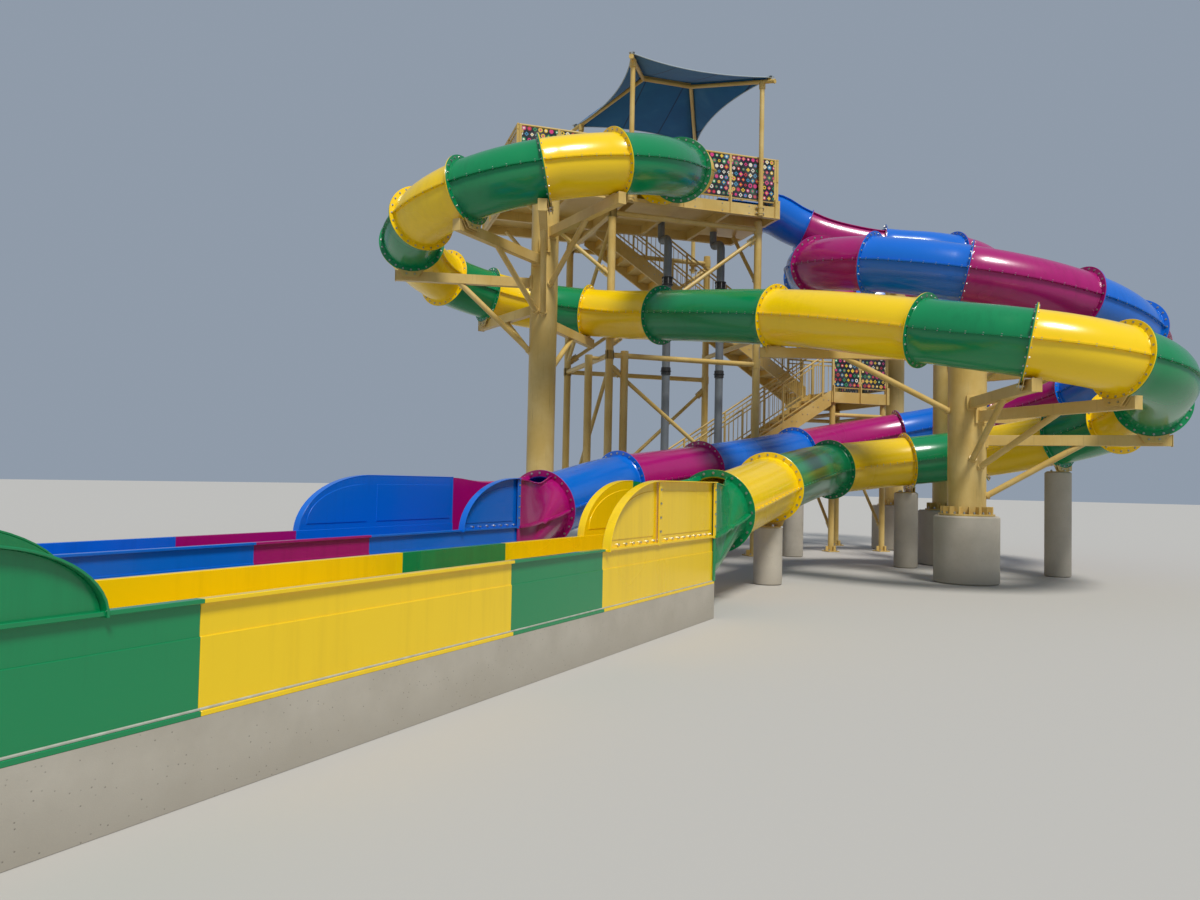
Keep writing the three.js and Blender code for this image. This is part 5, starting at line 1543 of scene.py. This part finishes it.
# %% Shade cloth
# Deep blue and nearly matt, with a fine knit, darker seams and a little dust in patches.
shade_cloth, shader = new_material("shade_cloth", Roughness=0.82, IOR=1.46)
shader.inputs["Sheen Weight"].default_value = 0.08
place = add_node(shade_cloth, "UVMap")
split = add_node(shade_cloth, "SeparateXYZ", (), {"Vector": place.outputs["UV"]})
knit = add_node(shade_cloth, "TexVoronoi", {"Scale": 240.0}, {"Vector": place.outputs["UV"]})
clouds = add_node(shade_cloth, "TexNoise", {"Scale": 1.6, "Detail": 5.0}, {"Vector": place.outputs["UV"]})
tone = add_node(shade_cloth, "Mix", {"data_type": "RGBA", 6: linear("0b4f86"), 7: linear("176ea6")},
                {0: clouds.outputs["Fac"]})
seam = value_node(shade_cloth, "COMPARE", value_node(
    shade_cloth, "FRACT", value_node(shade_cloth, "DIVIDE", split.outputs["X"], 0.95)), 0.5, 0.016)
stitched = add_node(shade_cloth, "Mix", {"data_type": "RGBA", 7: linear("083a64")},
                    {0: seam, 6: tone.outputs[2]})
dust = add_node(shade_cloth, "MapRange", {"From Min": 0.55, "From Max": 0.8, "To Max": 0.12},
                {"Value": clouds.outputs["Fac"]})
dusty = add_node(shade_cloth, "Mix", {"data_type": "RGBA", 7: linear("7d95a6")},
                 {0: dust.outputs["Result"], 6: stitched.outputs[2]})
relief = value_node(shade_cloth, "MULTIPLY_ADD", knit.outputs["Distance"], 0.4, seam)
bump = add_node(shade_cloth, "Bump", {"Strength": 0.4, "Distance": 0.003}, {"Height": relief})
wire(shade_cloth, shader, Base_Color=dusty.outputs[2], Normal=bump.outputs["Normal"])

# Pale and matt, with the fine ribs of a woven tape.
webbing, shader = new_material("edge_webbing", Roughness=0.78, IOR=1.5)
place = add_node(webbing, "TexCoord")
ribs = add_node(webbing, "TexNoise", {"Scale": 220.0, "Detail": 2.0}, {"Vector": place.outputs["Object"]})
tone = add_node(webbing, "Mix", {"data_type": "RGBA", 6: linear("8fa5b4"), 7: linear("c3ced4")},
                {0: ribs.outputs["Fac"]})
bump = add_node(webbing, "Bump", {"Strength": 0.4, "Distance": 0.002}, {"Height": ribs.outputs["Fac"]})
wire(webbing, shader, Base_Color=tone.outputs[2], Normal=bump.outputs["Normal"])

# %% [markdown]
# The cloth is a grid of points in rings from the ridge to the edge.

# %% Sail
SAIL_CORNERS = []
for k in (0, 1, 3, 2):
    end, out, length, fall = rafter_line(*CANOPY_POSTS[k][:2])
    SAIL_CORNERS.append(end + out * (length + 0.27) - step_up(fall * (length + 0.27)))


def sail_point(side, w, out):
    """A place on the sail: side and share w along it, out from ridge (0) to edge (1)."""
    a, b = SAIL_CORNERS[side], SAIL_CORNERS[(side + 1) % 4]
    ends = [RIDGE_ENDS[0 if corner.x < 0 else 1] for corner in (a, b)]
    bow = 4 * w * (1 - w)
    inner, outer = ends[0].lerp(ends[1], w), a.lerp(b, w)
    middle = Vector(((a.x + b.x) / 2, (a.y + b.y) / 2 + 0.15, 0))
    outer = outer - middle.normalized() * 0.33 * bow + step_up(0.02 * bow)
    point = inner.lerp(outer, out)
    point.z += 0.086 - 0.025 * bow * math.sin(math.pi * out)
    return point


STEPS, RINGS = 20, 16
points, faces = [], []
for i in range(RINGS + 1):
    for side in range(4):
        for k in range(STEPS):
            points.append(sail_point(side, k / STEPS, i / RINGS))
around = 4 * STEPS
for i in range(RINGS):
    for k in range(around):
        faces.append((i * around + k, (i + 1) * around + k, (i + 1) * around + (k + 1) % around,
                      i * around + (k + 1) % around))
mesh = bpy.data.meshes.new("sail")
mesh.from_pydata([tuple(p) for p in points], [], faces)
sail = bpy.data.objects.new("canopy_sail_cloth", mesh)
bpy.context.scene.collection.objects.link(sail)
cloth_map = mesh.uv_layers.new(name="cloth")
for loop in mesh.loops:
    spot = mesh.vertices[loop.vertex_index].co
    cloth_map.data[loop.index].uv = (spot.x, spot.y * 1.06)
take(sail)
bpy.ops.object.mode_set(mode="EDIT")
finish_edit(0.0005)
painted(sail, shade_cloth)
apply_modifier(sail, "SOLIDIFY", thickness=0.003, offset=0.0)
smooth(sail, 40)
hems = []
for side in range(4):
    for k in range(STEPS):
        a, b = sail_point(side, k / STEPS, 1.0), sail_point(side, (k + 1) / STEPS, 1.0)
        hems.append(painted(pipe(a, b, 0.011, 8), webbing))
for post in (0, 1, 3, 2):
    end, out, length, fall = rafter_line(*CANOPY_POSTS[post][:2])
    eye = end + out * (length + 0.21) + step_up(0.092 - fall * (length + 0.21))
    hems.append(painted(bar(eye - out * 0.09, eye + out * 0.06, 0.12, 0.014), stainless))
hem = join(hems, "canopy_sail_edging")
keep(hem, TOWER)
keep(sail, TOWER, ["canopy_sail"])


# %% [markdown]
# ## Riser pipes
# Two grey plastic risers climb inside the tower to the start tubs. Black couplings join their lengths, a
# lever valve sits at breast height, and a bolted flange stands on the floor.

# %% Risers
# Grey and dull, with paler dust in patches.
riser_plastic, shader = new_material("riser_plastic", IOR=1.53)
place = add_node(riser_plastic, "TexCoord")
dust = add_node(riser_plastic, "TexNoise", {"Scale": 2.4, "Detail": 6.0}, {"Vector": place.outputs["Object"]})
tone = add_node(riser_plastic, "Mix", {"data_type": "RGBA", 6: linear("565d64"), 7: linear("7d848a")},
                {0: dust.outputs["Fac"]})
dull = add_node(riser_plastic, "MapRange", {"To Min": 0.30, "To Max": 0.55}, {"Value": dust.outputs["Fac"]})
wire(riser_plastic, shader, Base_Color=tone.outputs[2], Roughness=dull.outputs["Result"])

# Nearly black and half matt, with a little grey dust.
black_rubber, shader = new_material("black_rubber", Roughness=0.62, IOR=1.52)
place = add_node(black_rubber, "TexCoord")
dust = add_node(black_rubber, "TexNoise", {"Scale": 18.0, "Detail": 5.0}, {"Vector": place.outputs["Object"]})
tone = add_node(black_rubber, "Mix", {"data_type": "RGBA", 6: linear("16171a"), 7: linear("303236")},
                {0: dust.outputs["Fac"]})
wire(black_rubber, shader, Base_Color=tone.outputs[2])


def elbow(a, corner, b, radius, bend, colour):
    """Two straight pipes joined by a quarter bend, made by spinning a circle."""
    a, corner, b = Vector(a), Vector(corner), Vector(b)
    before, after = (corner - a).normalized(), (b - corner).normalized()
    start = corner - before * bend
    bpy.ops.object.select_all(action="DESELECT")
    bpy.ops.mesh.primitive_circle_add(vertices=24, radius=radius, fill_type="NGON")
    thing = bpy.context.object
    thing.data.transform(Matrix.Translation(start) @ laid_along(-before, before)
                         @ quarter("X"))
    bpy.ops.object.mode_set(mode="EDIT")
    bpy.ops.mesh.select_all(action="SELECT")
    bpy.ops.mesh.spin(steps=8, angle=math.pi / 2, center=tuple(start + after * bend),
                      axis=tuple(after.cross(before)))
    finish_edit()
    thing.data.materials.append(colour)
    return [painted(pipe(a, start + before * 0.002, radius, 24), colour), thing,
            painted(pipe(corner + after * (bend - 0.002), b, radius, 24), colour)]


def riser(node, p, q, end):
    """One riser with its fittings."""
    parts = elbow((p, q, 0.03), (p, q, 7.08), (p, q + 0.30, 7.08), 0.090, 0.16, riser_plastic)
    parts += elbow((p, q + 0.26, 7.08), (p, q + 0.44, 7.08), (p, q + 0.44, end), 0.080, 0.12, riser_plastic)
    parts.append(painted(pipe((p, q, 0.0), (p, q, 0.032), 0.150, 32), riser_plastic))
    parts.append(painted(pipe((p, q, 0.03), (p, q, 0.19), 0.104, 32), black_rubber))
    for z in (2.02, 3.98, 6.0):
        parts.append(painted(pipe((p, q, z), (p, q, z + 0.16), 0.106, 32), black_rubber))
        parts.append(painted(pipe((p, q, z + 0.074), (p, q, z + 0.086), 0.122, 32), black_rubber))
    for z, radius in ((6.0, 0.130), (6.16, 0.130), (1.12, 0.138), (1.26, 0.138)):
        parts.append(painted(pipe((p, q, z - 0.012), (p, q, z + 0.012), radius, 32), black_rubber))
    parts.append(painted(pipe((p, q, 1.12), (p, q, 1.26), 0.112, 32), black_rubber))
    parts.append(painted(pipe((p, q, 1.19), (p, q - 0.20, 1.19), 0.022, 16), black_rubber))
    lever = bar((p - 0.02, q - 0.19, 1.19), (p + 0.20, q - 0.19, 1.21), 0.030, 0.014)
    parts.append(painted(lever, stainless))
    piece = join(parts, node + "_pipework")
    smooth(piece, 35)
    keep(piece, TOWER, [node])
    bolts = []
    for z, circle in ((0.036, 0.128), (1.19, 0.125), (6.08, 0.118)):
        for k in range(6):
            a = math.pi / 3 * k + 0.3
            spot = (p + circle * math.cos(a), q + circle * math.sin(a), z)
            bolts.append(copy_of(gusset_bolt, Matrix.Translation(spot) @ quarter("Y")
                                 @ Matrix.Diagonal((0.5 if z < 1 else 4.0, 0.5, 0.5, 1))))
    keep(join(bolts, node + "_bolts"), TOWER)


riser("riser_a", -0.200, -0.900, 7.6396)
riser("riser_b", 1.100, -0.900, 7.4396)
print("sail and risers, pieces so far:", len(pieces_made))

# %% [markdown]
# ## Every solid that stays gets a finish
# The solids whose shape is right keep their mesh and only get a real material.

# %% Finishes for the solids that stay
def finish_node(node, material):
    """Gives one CAD node a better material."""
    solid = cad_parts[node]
    solid.data.materials.clear()
    solid.data.materials.append(material)


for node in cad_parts:
    finish_node(node, tan_enamel)
for node in ("a_footing", "b_footing"):
    finish_node(node, concrete)

# %% [markdown]
# ## Clean up and hand over
# The helper objects go, a plain floor is laid, and the count of pieces and faces is printed.

# %% Floor and finish
for helper in (joint_bolts, seam_bolt, guard_bolt, gusset_bolt, guide_a, guide_b):
    bpy.data.objects.remove(helper)

# Pale and matt, so that the floor stays plain.
floor_tone, shader = new_material("pale_floor", Roughness=0.85)
shader.inputs["Base Color"].default_value = linear("bdbab4")
bpy.ops.object.select_all(action="DESELECT")
bpy.ops.mesh.primitive_plane_add(size=300, location=(0, 0, -0.002))
floor = bpy.context.object
floor.name = "floor"
floor.data.materials.append(floor_tone)

print("pieces made:", len(pieces_made), "faces:", sum(pieces_made.values()))
